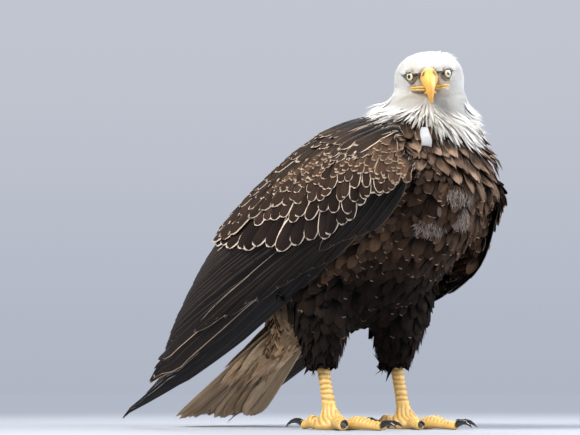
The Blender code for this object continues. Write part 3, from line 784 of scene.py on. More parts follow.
def vane_material(name, rough, relief, specular, fringe, shaft=None, through=0.0, **settings):
    """A feather's surface. through is how much light passes into it."""
    made, tree, shader = material(
        name, Roughness=rough, Specular_IOR_Level=specular, Subsurface_Weight=through,
        **(dict(Subsurface_Radius=(0.010, 0.0095, 0.009), Subsurface_Scale=1.0) if through else {}))
    if shaft:
        settings["Shaft_Colour"] = (*shaft, 1)
    vane = wired(tree, "ShaderNodeGroup", {"node_tree": VANE}, Fringe_Colour=(*fringe, 1), **settings).outputs
    bump = wired(tree, "ShaderNodeBump", Height=vane["Height"], Distance=relief, Strength=1.0)
    tree.links.new(vane["Colour"], shader.inputs["Base Color"])
    tree.links.new(bump.outputs[0], shader.inputs["Normal"])
    return made


def tinted_material(name, rough, bump_scale=0.0, relief=0.0, **values):
    """A plain surface that takes its colour from the piece's stored tint."""
    made, tree, shader = material(name, Roughness=rough, **values)
    tint = wired(tree, "ShaderNodeAttribute", {"attribute_name": "tint"})
    tree.links.new(tint.outputs["Color"], shader.inputs["Base Color"])
    if relief:
        where = wired(tree, "ShaderNodeTexCoord").outputs["Object"]
        grain = wired(tree, "ShaderNodeTexNoise", Vector=where, Scale=bump_scale, Detail=4.0)
        bump = wired(tree, "ShaderNodeBump", Height=grain.outputs[0], Distance=relief, Strength=1.0)
        tree.links.new(bump.outputs[0], shader.inputs["Normal"])
    return made


VANE = vane_group()
# Each kind of feather: its roughness, relief, gloss, and the colours of its border and its shaft
PLUMAGE = {
    "white": vane_material(
        "White feather", 0.8, 0.00003, 0.1, WHITE, IVORY, 0.6, Barbs=34, Barb_Depth=0.02,
        Shaft_Show=0.0, Root_Shade=0.10, Shade_Reach=0.5, Cloud=0.10),
    "brown": vane_material(
        "Brown feather", 0.7, 0.00012, 0.06, (0.38, 0.255, 0.17), SOOT, Barbs=44, Barb_Depth=0.12,
        Fringe_Width=0.24, Shaft_Show=0.3, Tip_Power=6.0, Root_Shade=0.85, Side_Border=0.80, Cloud=0.7),
    "ruff": vane_material(
        "Ruff feather", 0.6, 0.00015, 0.10, (0.27, 0.178, 0.120), (0.14, 0.09, 0.06), Barbs=60,
        Barb_Depth=0.14, Fringe_Width=0.50, Root_Shade=0.9, Side_Border=0.78, Cloud=0.6),
    "coverts": vane_material(
        "Wing covert", 0.55, 0.00015, 0.12, (0.80, 0.64, 0.50), SOOT, Barbs=60, Barb_Depth=0.12,
        Fringe_Width=0.19, Shaft_Show=0.6, Tip_Power=5.0, Root_Shade=0.85, Shade_Reach=0.85, Cloud=0.6),
    "lesser_coverts": vane_material(
        "Lesser covert", 0.6, 0.00015, 0.10, (0.50, 0.37, 0.265), SOOT, Barbs=40, Barb_Depth=0.20,
        Fringe_Width=0.24, Shaft_Show=0.6, Tip_Power=3.5, Root_Shade=0.9, Shade_Reach=0.85, Cloud=0.8),
    "flight": vane_material(
        "Flight feather", 0.42, 0.00025, 0.14, (0.66, 0.51, 0.38), (0.055, 0.042, 0.035), Barbs=120,
        Barb_Depth=0.14, Side_Shade=0.75, Fringe_Width=0.11, Shaft_Show=0.9, Tip_Power=20.0,
        Shaft_Width=0.035, Root_Shade=0.5, Cloud=0.5),
    # the primaries' pale shafts and thin pale borders are painted glints along their shafts and edges
    "primaries": vane_material(
        "Primary", 0.38, 0.00025, 0.18, (0.54, 0.43, 0.33), (0.42, 0.36, 0.32), Barbs=160,
        Barb_Depth=0.14, Side_Shade=0.6, Fringe_Width=0.08, Shaft_Show=1.0, Tip_Power=40.0,
        Shaft_Width=0.05, Root_Shade=0.1),
    "tail": vane_material(
        "Tail feather", 0.65, 0.0004, 0.15, (0.72, 0.54, 0.36), (0.72, 0.56, 0.38), Barbs=140,
        Barb_Depth=0.16, Fringe_Width=0.12, Shaft_Show=0.8, Tip_Power=9.0, Shaft_Width=0.045,
        Shade_Reach=0.95, Side_Shade=0.25, Cloud=0.9),
    "down": vane_material(
        "Soft covert", 0.8, 0.0003, 0.08, (0.72, 0.55, 0.38), Barbs=24, Barb_Depth=0.15, Root_Shade=0.5,
        Cloud=0.5),
}

SKIN_LOOK = tinted_material("Skin", 0.85)
HORN_LOOK = tinted_material("Bill horn", 0.32, 900.0, 0.0002, Coat_Weight=0.15, Coat_Roughness=0.25,
                            Subsurface_Weight=0.08)
FOOT_LOOK = tinted_material("Foot skin", 0.5, 700.0, 0.0003)
TALON_LOOK = tinted_material("Talon horn", 0.22, 400.0, 0.0001, Coat_Weight=0.3)
LID_LOOK = tinted_material("Eyelid", 0.45)
EYE_LOOK = tinted_material("Eye", 0.06, Coat_Weight=1.0, Coat_Roughness=0.02, Specular_IOR_Level=0.6)


# ---------------------------------------------------------------- wings

WRIST = {"left": HOME + Vector((0.110, -0.108, 0.328)), "right": HOME + Vector((-0.122, -0.128, 0.338))}
WING_TIP = {side: HOME + Vector((SIGN[side] * 0.118, 0.420, 0.012)) for side in SIGN}
# a feather's number among its fellows decides how high it lies in the folded stack
STACK_STEP, WING_SINK = 0.0004, 0.0035
# how far from the bird's middle the rays that read a wing's face are aimed
WING_CORE = 0.030

# How far back each primary ends, from the innermost to the outermost
PRIMARY_TIPS = (0.470, 0.492, 0.514, 0.536, 0.560, 0.586, 0.610, 0.628, 0.622, 0.590)
# Where the secondaries end, from the outermost to the innermost: back and up
SECONDARY_TIPS = ((0.540, 0.030), (0.520, 0.046), (0.490, 0.068), (0.445, 0.096), (0.395, 0.128),
                  (0.345, 0.162))
# The coverts' field: it starts along one line at the wrist and ends along another
COVERT_START = ((-0.016, 0.010), (-0.016, 0.045), (-0.006, 0.078), (0.018, 0.100), (0.060, 0.116),
                (0.120, 0.128))
COVERT_END = ((0.040, 0.024), (0.075, 0.031), (0.110, 0.035), (0.150, 0.036), (0.182, 0.050), (0.213, 0.070),
              (0.245, 0.082), (0.285, 0.112), (0.320, 0.142))
# each row's share of the way, its feathers' width and length
COVERT_ROWS = ((0.05, 0.0100, 0.020), (0.11, 0.0100, 0.022), (0.17, 0.0110, 0.024), (0.24, 0.0115, 0.026),
               (0.315, 0.0125, 0.028), (0.41, 0.0140, 0.034), (0.535, 0.0160, 0.042), (0.69, 0.0180, 0.050),
               (1.00, 0.0215, 0.078))
# How steeply the coverts lean down from the wing's length: how far back, and the lean in degrees
COVERT_SLANT = ((-0.02, 0.03, 0.12, 0.20, 0.32), (66, 50, 33, 24, 14))
# The lower edge of the scapulars: how far back, and up
SCAPULAR_EDGE = ((-0.02, 0.03, 0.10, 0.28), (0.074, 0.104, 0.112, 0.126))


def along_line(line, share):
    """Places along a bent line at shares of its length, and its length."""
    line = np.array(line)
    run = np.concatenate([[0], np.cumsum(np.linalg.norm(np.diff(line, axis=0), axis=1))])
    return np.stack([np.interp(share * run[-1], run, column) for column in line.T], -1), run[-1]


def numbered(count):
    """The feathers of a row, numbered from 0, and how far through the row each is."""
    return np.arange(count), np.linspace(0, 1, count)


class WingFace:
    """The outer face of one wing as a chart: metres back from the wrist, metres up from the
    lower edge. It is read from the solids by casting lines at them from outside."""

    def __init__(self, side):
        self.side = side
        nodes = [frame["nodes"][f"wing_{side}_{part}"] for part in ("coverts", "secondaries", "primaries")]
        tree = tree_of(nodes)
        wrist = np.array(WRIST[side])
        along = unit((np.array(WING_TIP[side]) - wrist) * (0, 1, 1))
        up, out = np.array([0, -along[2], along[1]]), np.array([SIGN[side], 0, 0])
        corners = np.concatenate([points_of(node.data) for node in nodes]) - wrist
        reach, height = corners @ along, corners @ up
        self.stations = np.linspace(-0.012, reach.max() - 0.012, 44)
        table, spans = [], []
        for at in self.stations:
            close = height[np.abs(reach - at) < 0.022]
            inside = wrist + along * at + up * (close.min() + (close.max() - close.min()) * 0.38)
            inside[0] = HOME.x + SIGN[side] * WING_CORE
            hits = []
            for angle in np.radians(np.arange(-80, 112, 1.5)):
                way = out * math.cos(angle) + up * math.sin(angle)
                found = tree.ray_cast((inside + way * 0.4).tolist(), (-way).tolist(), 0.4)[0]
                if found is not None:
                    hits.append(found)
            line, run = along_line(hits, np.linspace(0, 1, 28))
            table.append(line)
            spans.append(run)
        self.table, self.spans = np.array(table), smoothed(np.array(spans))
        for _ in range(3):
            smoothed(self.table)
            smoothed(self.table.swapaxes(0, 1))
        normal = unit(np.cross(np.gradient(self.table, axis=0), np.gradient(self.table, axis=1)))
        self.normal = normal * np.sign((normal @ (out + 0.3 * up)).mean())

    def span(self, a):
        return np.interp(a, self.stations, self.spans)

    def at(self, a, b, lift):
        """Place and normal at a metres back and b metres up."""
        x = (a - self.stations[0]) / (self.stations[1] - self.stations[0])
        y = b / self.span(a) * (self.table.shape[1] - 1)
        i = np.clip(np.floor(x).astype(int), 0, len(self.stations) - 2)
        j = np.clip(np.floor(y).astype(int), 0, self.table.shape[1] - 2)
        u, v = (x - i)[..., None], (y - j)[..., None]

        def mix(grid, u, v):
            return ((grid[i, j] * (1 - u) + grid[i + 1, j] * u) * (1 - v)
                    + (grid[i, j + 1] * (1 - u) + grid[i + 1, j + 1] * u) * v)

        normal = unit(mix(self.normal, np.clip(u, 0, 1), np.clip(v, 0, 1)))
        return mix(self.table, u, v) + normal * lift[..., None], normal


def wing_blades(face, name, root_a, root_b, tip_a, tip_b, width, shape, tint, *, rows=12, columns=9,
                lift=(0.0, 0.001), bow=0.0, cup=0.14, ridge=0.0004, ragged=0.12, thick=0.0006, vary=0.06,
                crowd=1.0, uneven=0.10):
    """Feathers laid on a wing's chart, from root to tip."""
    *ends, width, low = np.broadcast_arrays(root_a, root_b, tip_a, tip_b, width, lift[0])
    draw, count, stops = fresh_draw(), len(width), stops_of(rows, crowd)
    a0, b0, a1, b1 = (np.array(ends) + draw.normal(0, vary, (4, count)) * width)[:, :, None]
    a, b = a0 + (a1 - a0) * stops, b0 + (b1 - b0) * stops + bow * np.sin(np.pi * stops)
    spine, over = face.at(a, b, low[:, None] + lift[1] * stops ** 1.2 - WING_SINK)
    side, over = squared(spine, over, draw.normal(0, 0.05, (count, 1, 1)))
    half = width[:, None] / 2 * widths(shape, stops) * (1 + draw.uniform(-0.06, 0.06, (count, 1)))
    tone = np.broadcast_to(tint, (count, 4)) * np.ones(4)
    tone[:, :3] *= np.clip(1 + draw.normal(0, uneven, (count, 1)), 0.4, 1.9)
    tone[:, 3:] = np.clip(tone[:, 3:] * draw.uniform(0.7, 1.15, (count, 1)), 0, 1)
    return blades(name, spine, side, over, half, tone, columns=columns, cup=cup, ridge=ridge,
                  ragged=ragged, thick=thick, crowd=crowd, hand=-SIGN[face.side])


def make_wing(side):
    face = WingFace(side)

    def lay(part, look, *args, slot="brown_feather", nodes=(), **settings):
        rode(wing_blades(face, f"wing_{side}_{part}", *args, **settings), PLUMAGE[look], nodes)

    # ten primaries, the outermost lowest
    inner = np.arange(9, -1, -1)
    lay("primaries", "primaries", 0.075 + 0.013 * inner, 0.014 + 0.0040 * inner, PRIMARY_TIPS,
        0.010 + 0.0026 * inner, 0.036 - 0.0008 * (9 - inner), "pointed", [*INK, 0.10],
        slot="dark_feather", nodes=(f"wing_{side}_primaries",), rows=26,
        lift=(0.0005 + STACK_STEP * inner, 0.0004), bow=-0.006, thick=0.0007, cup=0.10, vary=0.02)

    # secondaries, and the tertials that lie over them
    k, share = numbered(22)
    lay("secondaries", "flight", 0.120 + 0.100 * share, 0.026 + 0.100 * share,
        *along_line(SECONDARY_TIPS, share)[0].T, 0.027 + 0.014 * share, "flight",
        blend([*SLATE, 0.55], [*UMBER, 0.85], share), nodes=(f"wing_{side}_secondaries",), rows=22,
        lift=(0.0044 + STACK_STEP * 0.5 * k, 0.0010), bow=0.006, cup=0.20, vary=0.10, uneven=0.25)

    # long smooth feathers of the hand and thumb, along the lower edge
    k, share = numbered(13)
    lay("primary_coverts", "flight", 0.004 + 0.080 * share, 0.016 + 0.024 * share,
        0.165 + 0.240 * share, 0.006 + 0.044 * share, 0.0185 + 0.004 * share, "flight",
        blend([*SLATE, 0.25], [*GREATER, 0.60], share), rows=18,
        lift=(0.0064 + STACK_STEP * 0.5 * k, 0.0012), bow=0.004, cup=0.26, vary=0.12, uneven=0.3)
    k, _ = numbered(5)
    lay("thumb_feathers", "flight", -0.006 + 0.006 * k, 0.012 + 0.007 * k,
        0.080 + 0.018 * k, 0.006 * k, 0.019, "flight", [*SLATE, 0.30], rows=14, columns=7,
        lift=(0.0090 + STACK_STEP * 0.7 * k, 0.0010), bow=-0.003, cup=0.20, vary=0.10)

    # coverts in rows that fan out from the wrist, small to large
    start, end = (along_line(line, np.linspace(0, 1, 60))[0] for line in (COVERT_START, COVERT_END))
    for number, (reach, width, long) in enumerate(COVERT_ROWS):
        row = start + (end - start) * reach
        length = np.linalg.norm(np.diff(row, axis=0), axis=1).sum()
        count = int(length / (width * (0.64 + 0.26 * ease(0.2, 0.6, reach))))
        share = (np.arange(count) + (0.5 if number % 2 else 0.1)) / count
        tip = along_line(row, share)[0]
        slant = np.radians(np.interp(tip[:, 0], *COVERT_SLANT))
        big = 0.85 + 0.40 * share
        root = tip - np.stack([np.cos(slant), -np.sin(slant)], -1) * (long * big)[:, None]
        last = reach == 1
        tone = blend(LESSER, MEDIAN, ease(0.10, 0.45, reach)) if reach < 0.6 else blend(MEDIAN, GREATER, 0.6)
        tone = [*(GREATER if last else tone), 0.75 + 0.50 * ease(0.18, 0.40, reach)]
        lay(f"covert_row_{number}", "coverts" if reach > 0.36 else "lesser_coverts", *root.T, *tip.T,
            width * big * 1.06, "covert", tone,
            rows=14 if last else 10, crowd=1.7, lift=(0.0168 - 0.0050 * reach, 0.0028), vary=0.20, cup=0.30,
            ragged=0.05, uneven=0.22)

    # scapulars: long dark feathers off the back, over the wing's upper edge
    rows = []
    for row in range(7):
        v = (np.arange(18 - row) + 0.5 * (row % 2)) / (18 - row)
        a = -0.020 + (0.315 - 0.012 * row) * v
        top = np.minimum(0.255, face.span(a) * 0.96)
        b = top + (np.interp(a, *SCAPULAR_EDGE) - top) * row / 6
        rows.append((a, np.minimum(b + (0.008 + 0.004 * row * (1 - v)), top), a + (0.048 + 0.040 * v), b,
                     0.0185 + 0.0105 * v, np.full(len(v), 0.0200 - 0.0007 * row)))
    *places, low = (np.concatenate(column) for column in zip(*rows))
    lay("scapulars", "coverts", *places, "flight", [*blend(UMBER, MEDIAN, 0.25), 0.60],
        lift=(low, 0.0030), vary=0.16, cup=0.26, ragged=0.25)


# ---------------------------------------------------------------- tail

TAIL_FROM, TAIL_TO = HOME + Vector((0, 0.120, 0.190)), HOME + Vector((0, 0.356, 0.004))
TAIL_FEATHERS, TAIL_ARCH = 12, 0.015
# How worn each tail feather's end is
TAIL_WORN = (0.3, 0.9, 0.1, 0.6, 0.0, 0.4, 0.2, 0.8, 0.1, 0.5, 0.9, 0.2)


def tail_place(across, share, lift):
    """A place on the fan: across from -1 to 1, share of the way to the tip, height over it."""
    axis = np.array((TAIL_TO - TAIL_FROM).normalized())
    over = np.array([0, -axis[2], axis[1]])
    across, share, lift = (value[..., None] for value in np.broadcast_arrays(across, share, lift))
    reach = ((TAIL_TO - TAIL_FROM).length - 0.028 * across ** 4) * share
    arch = TAIL_ARCH * (1 - across ** 2) * share
    place = np.array(TAIL_FROM) + axis * reach + over * (arch + lift)
    place[..., :1] += (0.014 + 0.066 * share) * across
    place[..., 2] = np.maximum(place[..., 2], 0.0008)
    return place, unit(over + np.array([1.0, 0, 0]) * (across * 0.35 * share))


def make_tail():
    stops, number = np.linspace(0, 1, 24), np.arange(TAIL_FEATHERS)
    across = np.linspace(-0.92, 0.92, TAIL_FEATHERS)[:, None]
    reach = (1 - 0.05 * np.array(TAIL_WORN))[:, None]
    spine, over = tail_place(across, stops * reach, 0.0050 * (1 - np.abs(across)) - 0.006)
    half = 0.0205 * widths("rectrix", stops) * (1 + 0.06 * np.sin(number * 2.4))[:, None]
    tone = blend([*TAIL_TAN, 0.75], [*TAIL_CREAM, 0.75], 0.5 + 0.5 * np.sin(number * 1.9))
    tone[:, :3] *= (1 + rng.normal(0, 0.12, TAIL_FEATHERS))[:, None]
    fan = blades("tail_fan", spine, *squared(spine, over), half, tone, columns=13, cup=0.10, ridge=0.0006,
                 ragged=0.12, thick=0.0008)
    rode(fan, PLUMAGE["tail"], ("tail",))

    # soft coverts over and under the tail's root
    stops = np.linspace(0, 1, 7)
    for name, flip, count, most in (
            ("undertail_coverts", -1.0, 230, 0.42), ("uppertail_coverts", 1.0, 120, 0.30)):
        draw = fresh_draw()
        u, share = draw.uniform(-1.0, 1.0, (count, 1)), draw.uniform(-0.10, most, count)
        share, long = np.sort(share)[::-1, None], draw.uniform(0.20, 0.30, (count, 1))
        height = (0.003 + 0.016 * ease(0.62, 0.10, share) + 0.004 * stops) * (1 - 0.55 * np.abs(u))
        spine, over = tail_place(u * 0.85, share + long * stops, flip * height - 0.003)
        half = draw.uniform(0.010, 0.014, (count, 1)) * widths("loose", stops)
        drift = waver(spine[:, 2], 0.02, 6)
        tone = painted(TAIL_CREAM, (TAIL_TAN, ease(-0.8, 0.4, drift)), (TAIL_STAIN, ease(0.1, 0.9, drift)))
        tone = np.concatenate([tone * (1 + draw.normal(0, 0.08, (count, 1))), np.full((count, 1), 0.3)], 1)
        rode(blades(name, spine, *squared(spine, over * flip), half, tone, columns=7, ragged=0.7, cup=0.2),
             PLUMAGE["down"])


# ---------------------------------------------------------------- where each kind of feather grows

# How far an eye's opening lies ahead of its middle, and how wide it is
LID_REACH = 0.0070


def near_eye(points, wide=LID_REACH):
    """True close round an eye's opening."""
    away = [np.linalg.norm(points - np.array(EYES[s] + gaze_of(s) * LID_REACH), axis=1) for s in EYES]
    return np.minimum(*away) < wide


def on_bill(points):
    side, ahead, _ = head_places(points)
    return (ahead > 0.0445) & (np.abs(side) < 0.0165)


def on_lore(points):
    """The bare skin between the eye and the bill."""
    side, ahead, up = head_places(points)
    aside = np.abs(side)
    return (ahead > 0.0315) & (aside < 0.0290) & (up < 0.0125 + 0.25 * (aside - 0.012)) & (up > -0.0095)


def near_gape(points):
    """True close to the lips."""
    _, ahead, up = head_places(points)
    return (ahead > GAPE_CORNER - 0.0005) & (np.abs(up - GAPE_UP + 0.0012) < 0.0034)


def on_face(points):
    return ((whiteness(points) > 0.5) & (head_places(points)[1] > 0.012) & (skull_reach(points) < 0.062)
            & ~near_eye(points) & ~on_bill(points) & ~on_lore(points) & ~near_gape(points))


def on_bristles(points):
    return on_lore(points) & ~near_eye(points, 0.0078) & ~on_bill(points)


def on_crown(points):
    return (whiteness(points) > 0.5) & (head_places(points)[1] <= 0.012) & (skull_reach(points) < 0.066)


def on_crest(points):
    """A small ruffled place on the crown."""
    side, ahead, up = head_places(points)
    return (np.abs(side - 0.022) < 0.008) & (np.abs(ahead + 0.004) < 0.008) & (up > 0.012)


def on_neck(points):
    return (whiteness(points) > 0.5) & (skull_reach(points) >= 0.055) & ~on_face(points)


def hackle_length(points):
    return 0.036 - 0.010 * ease(0.80, 0.98, cape_way(points))


def hackle_rise(points):
    """Hackles stand up most behind and beside the skull."""
    side, ahead, _ = head_places(points)
    return 0.0095 + 0.0060 * ease(0.0, -0.045, ahead) + 0.0045 * ease(0.012, 0.030, np.abs(side))


def on_ruff(points):
    under = cape_edge(points) - points[:, 2]
    return (under > 0.005) & (under < 0.046) & (cape_way(points) > -0.85) & (skull_reach(points) > 0.05)


def under_wing(points):
    """Skin that the wing's own feathers hide."""
    out, back, height = home_places(points)
    return (np.abs(out) > 0.085) & (height > 0.20) & (back > -0.10)


def on_down(points):
    return down_patch(points) + 0.18 * waver(points, 0.006, 5) > 0.42


def on_breast(points):
    return ((whiteness(points) < 0.6) & (home_places(points)[2] > 0.225) & ~under_wing(points)
            & (skull_reach(points) > 0.055) & ~on_down(points))


def on_belly(points):
    height = home_places(points)[2]
    return (height <= 0.235) & (height > 0.150) & ~under_wing(points)


def on_thigh(points):
    return home_places(points)[2] <= 0.158


def on_wing_edge(points):
    """The wings' leading edges and inner sides, which their rows of coverts don't reach."""
    out, back, height = home_places(points)
    edge = (np.abs(out) > 0.078) & (height > 0.10) & (height < 0.35) & (back < 0.12)
    for k in np.nonzero(edge)[0]:
        facing = ground.facing[ground.tree.find_nearest(points[k].tolist())[2]]
        edge[k] = facing[0] * np.sign(out[k]) < 0.45
    return edge & (skull_reach(points) > 0.08)


# The ruff's feathers: the space between them, their length and half their width
RUFF_SPACING, RUFF_LONG, RUFF_HALF = 0.0088, 0.047, 0.0100


def make_ruff():
    """The shaggy brown collar under the white cape, whose tips stand off the breast."""
    roots, normals, spots = ground.scatter(on_ruff, RUFF_SPACING)
    count, stops, draw = len(roots), np.linspace(0, 1, 10), fresh_draw()
    away = unit((roots - NECK_AXIS) * (1, 1, 0))
    shoulder = ease(0.55, 0.95, cape_way(roots))[:, None]
    heading = tangent(away * (0.4 + 0.5 * shoulder) + np.array([0, 0.05, -1.0]), normals)
    heading = turned(heading, normals, draw.normal(0, 0.24, count))
    long = RUFF_LONG * (1 + draw.uniform(-0.22, 0.22, count))
    rise = (0.010 + 0.007 * shoulder + draw.uniform(-0.003, 0.004, (count, 1))) * stops ** 1.3 + 0.0022
    spine, side, over = ground.lie(roots, heading, long, 10, rise)
    half = RUFF_HALF * (1 + draw.uniform(-0.25, 0.25, (count, 1))) * widths("loose", stops)
    tone = blend(RUFF_DARK, RUFF_LIGHT, draw.random(count) ** 2)
    tint = np.concatenate([tone, draw.uniform(0.2, 1.0, (count, 1)) ** 1.5], axis=1)
    rode(blades("ruff_feathers", spine, side, over, half, tint, columns=7, cup=0.30, ridge=0.0004,
                ragged=0.35, patch=spots), PLUMAGE["ruff"])


# Where the loose feather is rooted, and how long and half as wide it is
LOOSE_ROOT, LOOSE_LONG, LOOSE_HALF = Vector((-0.064, -0.142, 0.400)), 0.034, 0.0072


def make_loose_feather():
    """One white feather, square at its end, that hangs over the ruff."""
    root, normal, face, _ = ground.tree.find_nearest(HOME + LOOSE_ROOT)
    heading = tangent((-0.15, 0.0, -1.0), np.array(normal)[None])
    stops = np.linspace(0, 1, 9)
    rise = (0.010 + 0.011 * np.sin(stops * 2.4))[None]
    spine, side, over = ground.lie(np.array(root)[None], heading, [LOOSE_LONG], 9, rise)
    half = LOOSE_HALF * widths("square", stops)[None]
    # painted grey: its own grey-white tone and painted shade
    rode(blades("loose_feather", spine, side, over, half, [[*LOOSE_GREY_AND_SHADE, 0.0]], columns=9,
                cup=0.12, ragged=0.15, patch=ground.uv[face].mean(0)[None]),
         PLUMAGE["white"])


skin = make_skin()
unwrap(skin)
paint(skin, coat_colour(points_of(skin.data)) * 0.75)
rode(skin, SKIN_LOOK, FLESH)
ground = Ground(skin)

# each patch: its look and place, the space between its feathers, and their length, width and shape
coat("face_feathers", "white", on_face, 0.00120,
     lambda p: 0.0050 + 0.0070 * ease(0.048, 0.024, head_places(p)[1]), 0.0017, "lance",
     lift=(0.0002, 0.0004), rows=4, columns=3, stray=0.08, shade=0.012, ragged=0.1, cup=0.05)
coat("lore_bristles", "white", on_bristles, 0.0017, 0.0042, 0.0008, "lance",
     lift=(0.0001, 0.0008), rows=4, columns=3, stray=0.25, shade=0.15)
coat("crown_feathers", "white", on_crown, 0.0018, 0.016, 0.0026, "lance",
     lift=(0.0003, 0.0009), columns=3, stray=0.08, shade=0.015, ragged=0.1, cup=0.06)
coat("crest_feathers", "white", on_crest, 0.0030, 0.0115, 0.0026, "lance",
     lift=(0.0004, 0.0034), columns=3, stray=0.30, shade=0.015, ragged=0.1, cup=0.06)
coat("neck_hackles", "white", on_neck, 0.0024, hackle_length, 0.0042, "lance",
     lift=(0.0010, hackle_rise), rows=8, stray=0.12, shade=0.02, vary=0.3)
make_ruff()
make_loose_feather()
coat("breast_feathers", "brown", on_breast, 0.0072, 0.029, 0.0135, "rounded",
     rows=7, lift=(0.0006, 0.0070), stray=0.32, ragged=0.08, fringe=0.85, flecked=0.46, shade=0.40)
coat("breast_down", "down", on_down, 0.00125, 0.0085, 0.0009, "lance",
     rows=4, columns=3, lift=(0.0050, 0.0055), stray=0.40, ragged=0.3, shade=0.3)
coat("belly_feathers", "brown", on_belly, 0.0080, 0.032, 0.0145, "rounded",
     rows=7, lift=(0.0006, 0.0070), stray=0.30, fringe=0.6, flecked=0.18, ragged=0.10, shade=0.35)
coat("thigh_feathers", "brown", on_thigh, 0.0072, 0.030, 0.013, "loose",
     rows=6, lift=(0.0005, 0.0055), stray=0.2, ragged=0.8, fringe=0.5, flecked=0.04, shade=0.30)
coat("wing_edge_feathers", "lesser_coverts", on_wing_edge, 0.0075, 0.022, 0.0125, "rounded",
     rows=6, lift=(0.0004, 0.0040), stray=0.2, ragged=0.1, fringe=0.9, flecked=0.6, shade=0.25)
for side in SIGN:
    make_wing(side)
make_tail()


# ---------------------------------------------------------------- bill, eyes and feet

BILL_VOXEL, FOOT_VOXEL, TALON_VOXEL = 0.0006, 0.0016, 0.0007
NOSTRIL_ASIDE, NOSTRIL_UP = 0.0078, 0.0082
CERE_YELLOW, BILL_YELLOW, BILL_TIP = (0.78, 0.50, 0.16), (0.73, 0.385, 0.075), (0.54, 0.27, 0.04)
NOSTRIL_SHADE, GAPE_YELLOW, TALON = (0.02, 0.012, 0.008), (0.60, 0.36, 0.085), (0.012, 0.010, 0.010)
FOOT_YELLOW, FOOT_GROOVE_SHADE = (0.62, 0.39, 0.11), (0.26, 0.15, 0.05)
IRIS, IRIS_RIM, PUPIL = (0.70, 0.64, 0.42), (0.22, 0.15, 0.06), (0.004, 0.004, 0.004)
# Above this height the foot is the shank
ANKLE = 0.035


def tube(name, path, radii, sides=10, closed=False):
    """A round bar along a path, closed in itself or with flat ends."""
    path = np.array(path, float)
    if closed:
        forward = unit(np.roll(path, -1, axis=0) - np.roll(path, 1, axis=0))
        side = unit(path - path.mean(0))
    else:
        forward = unit(np.gradient(path, axis=0))
        side = unit(np.cross(forward, np.array(HEAD_UP)))
    side = tangent(side, forward)
    over = np.cross(side, forward)
    turn = (2 * math.pi * np.arange(sides) / sides)[:, None]
    round_it = side[:, None] * np.cos(turn) + over[:, None] * np.sin(turn)
    places = path[:, None] + np.array(radii)[:, None, None] * round_it
    mesh = bmesh.new()
    rings = [[mesh.verts.new(place) for place in ring] for ring in places.tolist()]
    for first, second in zip(rings, rings[1:] + (rings[:1] if closed else [])):
        for j in range(sides):
            mesh.faces.new((first[j], first[(j + 1) % sides], second[(j + 1) % sides], second[j]))
    if not closed:
        mesh.faces.new(rings[0][::-1])
        mesh.faces.new(rings[-1])
    bmesh.ops.recalc_face_normals(mesh, faces=mesh.faces)
    bar = placed(name, mesh)
    bar.data.shade_smooth()
    return bar


def make_gape(side, head_tree):
    """The yellow lips that run from the bill back to the corner of the mouth under the eye."""
    for lip, drop, radius in (("upper", 0.0, 0.0014), ("lower", -0.0033, 0.0012)):
        path, radii = [], []
        for share in np.linspace(0, 1, 15):
            aside = GAPE_IN + (GAPE_OUT - GAPE_IN) * share
            up = GAPE_UP + drop * (1 - 0.65 * share ** 5) + 0.0012 * share
            found = head_tree.ray_cast(on_head(SIGN[side] * aside, 0.09, up), -HEAD_AHEAD, 0.09)[0]
            if found is None:
                continue
            # beside the bill the lips run straight in
            ahead = min(head_places([found])[1, 0], GAPE_START)
            path.append(on_head(SIGN[side] * (aside + GAPE_PROUD), ahead + GAPE_PROUD, up))
            thin = 1 - 0.8 * ease(0.90, 1.0, share)
            radii.append(radius * (1 + GAPE_FLANGE * ease(0.5, 0.0, share)) * thin)
        lips = tube(f"gape_{lip}_{side}", path, radii)
        paint(lips, GAPE_YELLOW)
        rode(lips, HORN_LOOK)


def make_bill():
    """The upper bill with its cere and nostrils, and the lower bill."""
    upper, data = cast_of("bill_upper_horn", ("cere", "bill_upper"), BILL_VOXEL, 6)
    places = points_of(data)
    side, ahead, up = head_places(places)
    lean = np.abs(side) - NOSTRIL_ASIDE + (up - NOSTRIL_UP) * 0.40
    nostril = bell(lean / 0.0013, (up - NOSTRIL_UP) / 0.0032) * ease(0.046, 0.049, ahead)
    places = places - normals_of(data) * (nostril * 0.0020)[:, None]
    put(data, places)
    # the nostrils' hollows are painted dark: painted shade inside them
    tone = painted(blend(CERE_YELLOW, BILL_YELLOW, ease(0.053, 0.057, ahead)),
                   (BILL_TIP, ease(0.004, -0.024, up) * 0.8), (NOSTRIL_SHADE, np.clip(nostril * 1.8, 0, 1)))
    paint(upper, tone * (1 + 0.05 * waver(places, 0.004, 8))[:, None])
    rode(upper, HORN_LOOK, ("cere", "bill_upper"))
    lower, data = cast_of("bill_lower_horn", ("bill_lower",), BILL_VOXEL, 4)
    data.shade_smooth()
    paint(lower, np.array(BILL_YELLOW) * 0.9)
    rode(lower, HORN_LOOK, ("bill_lower",))


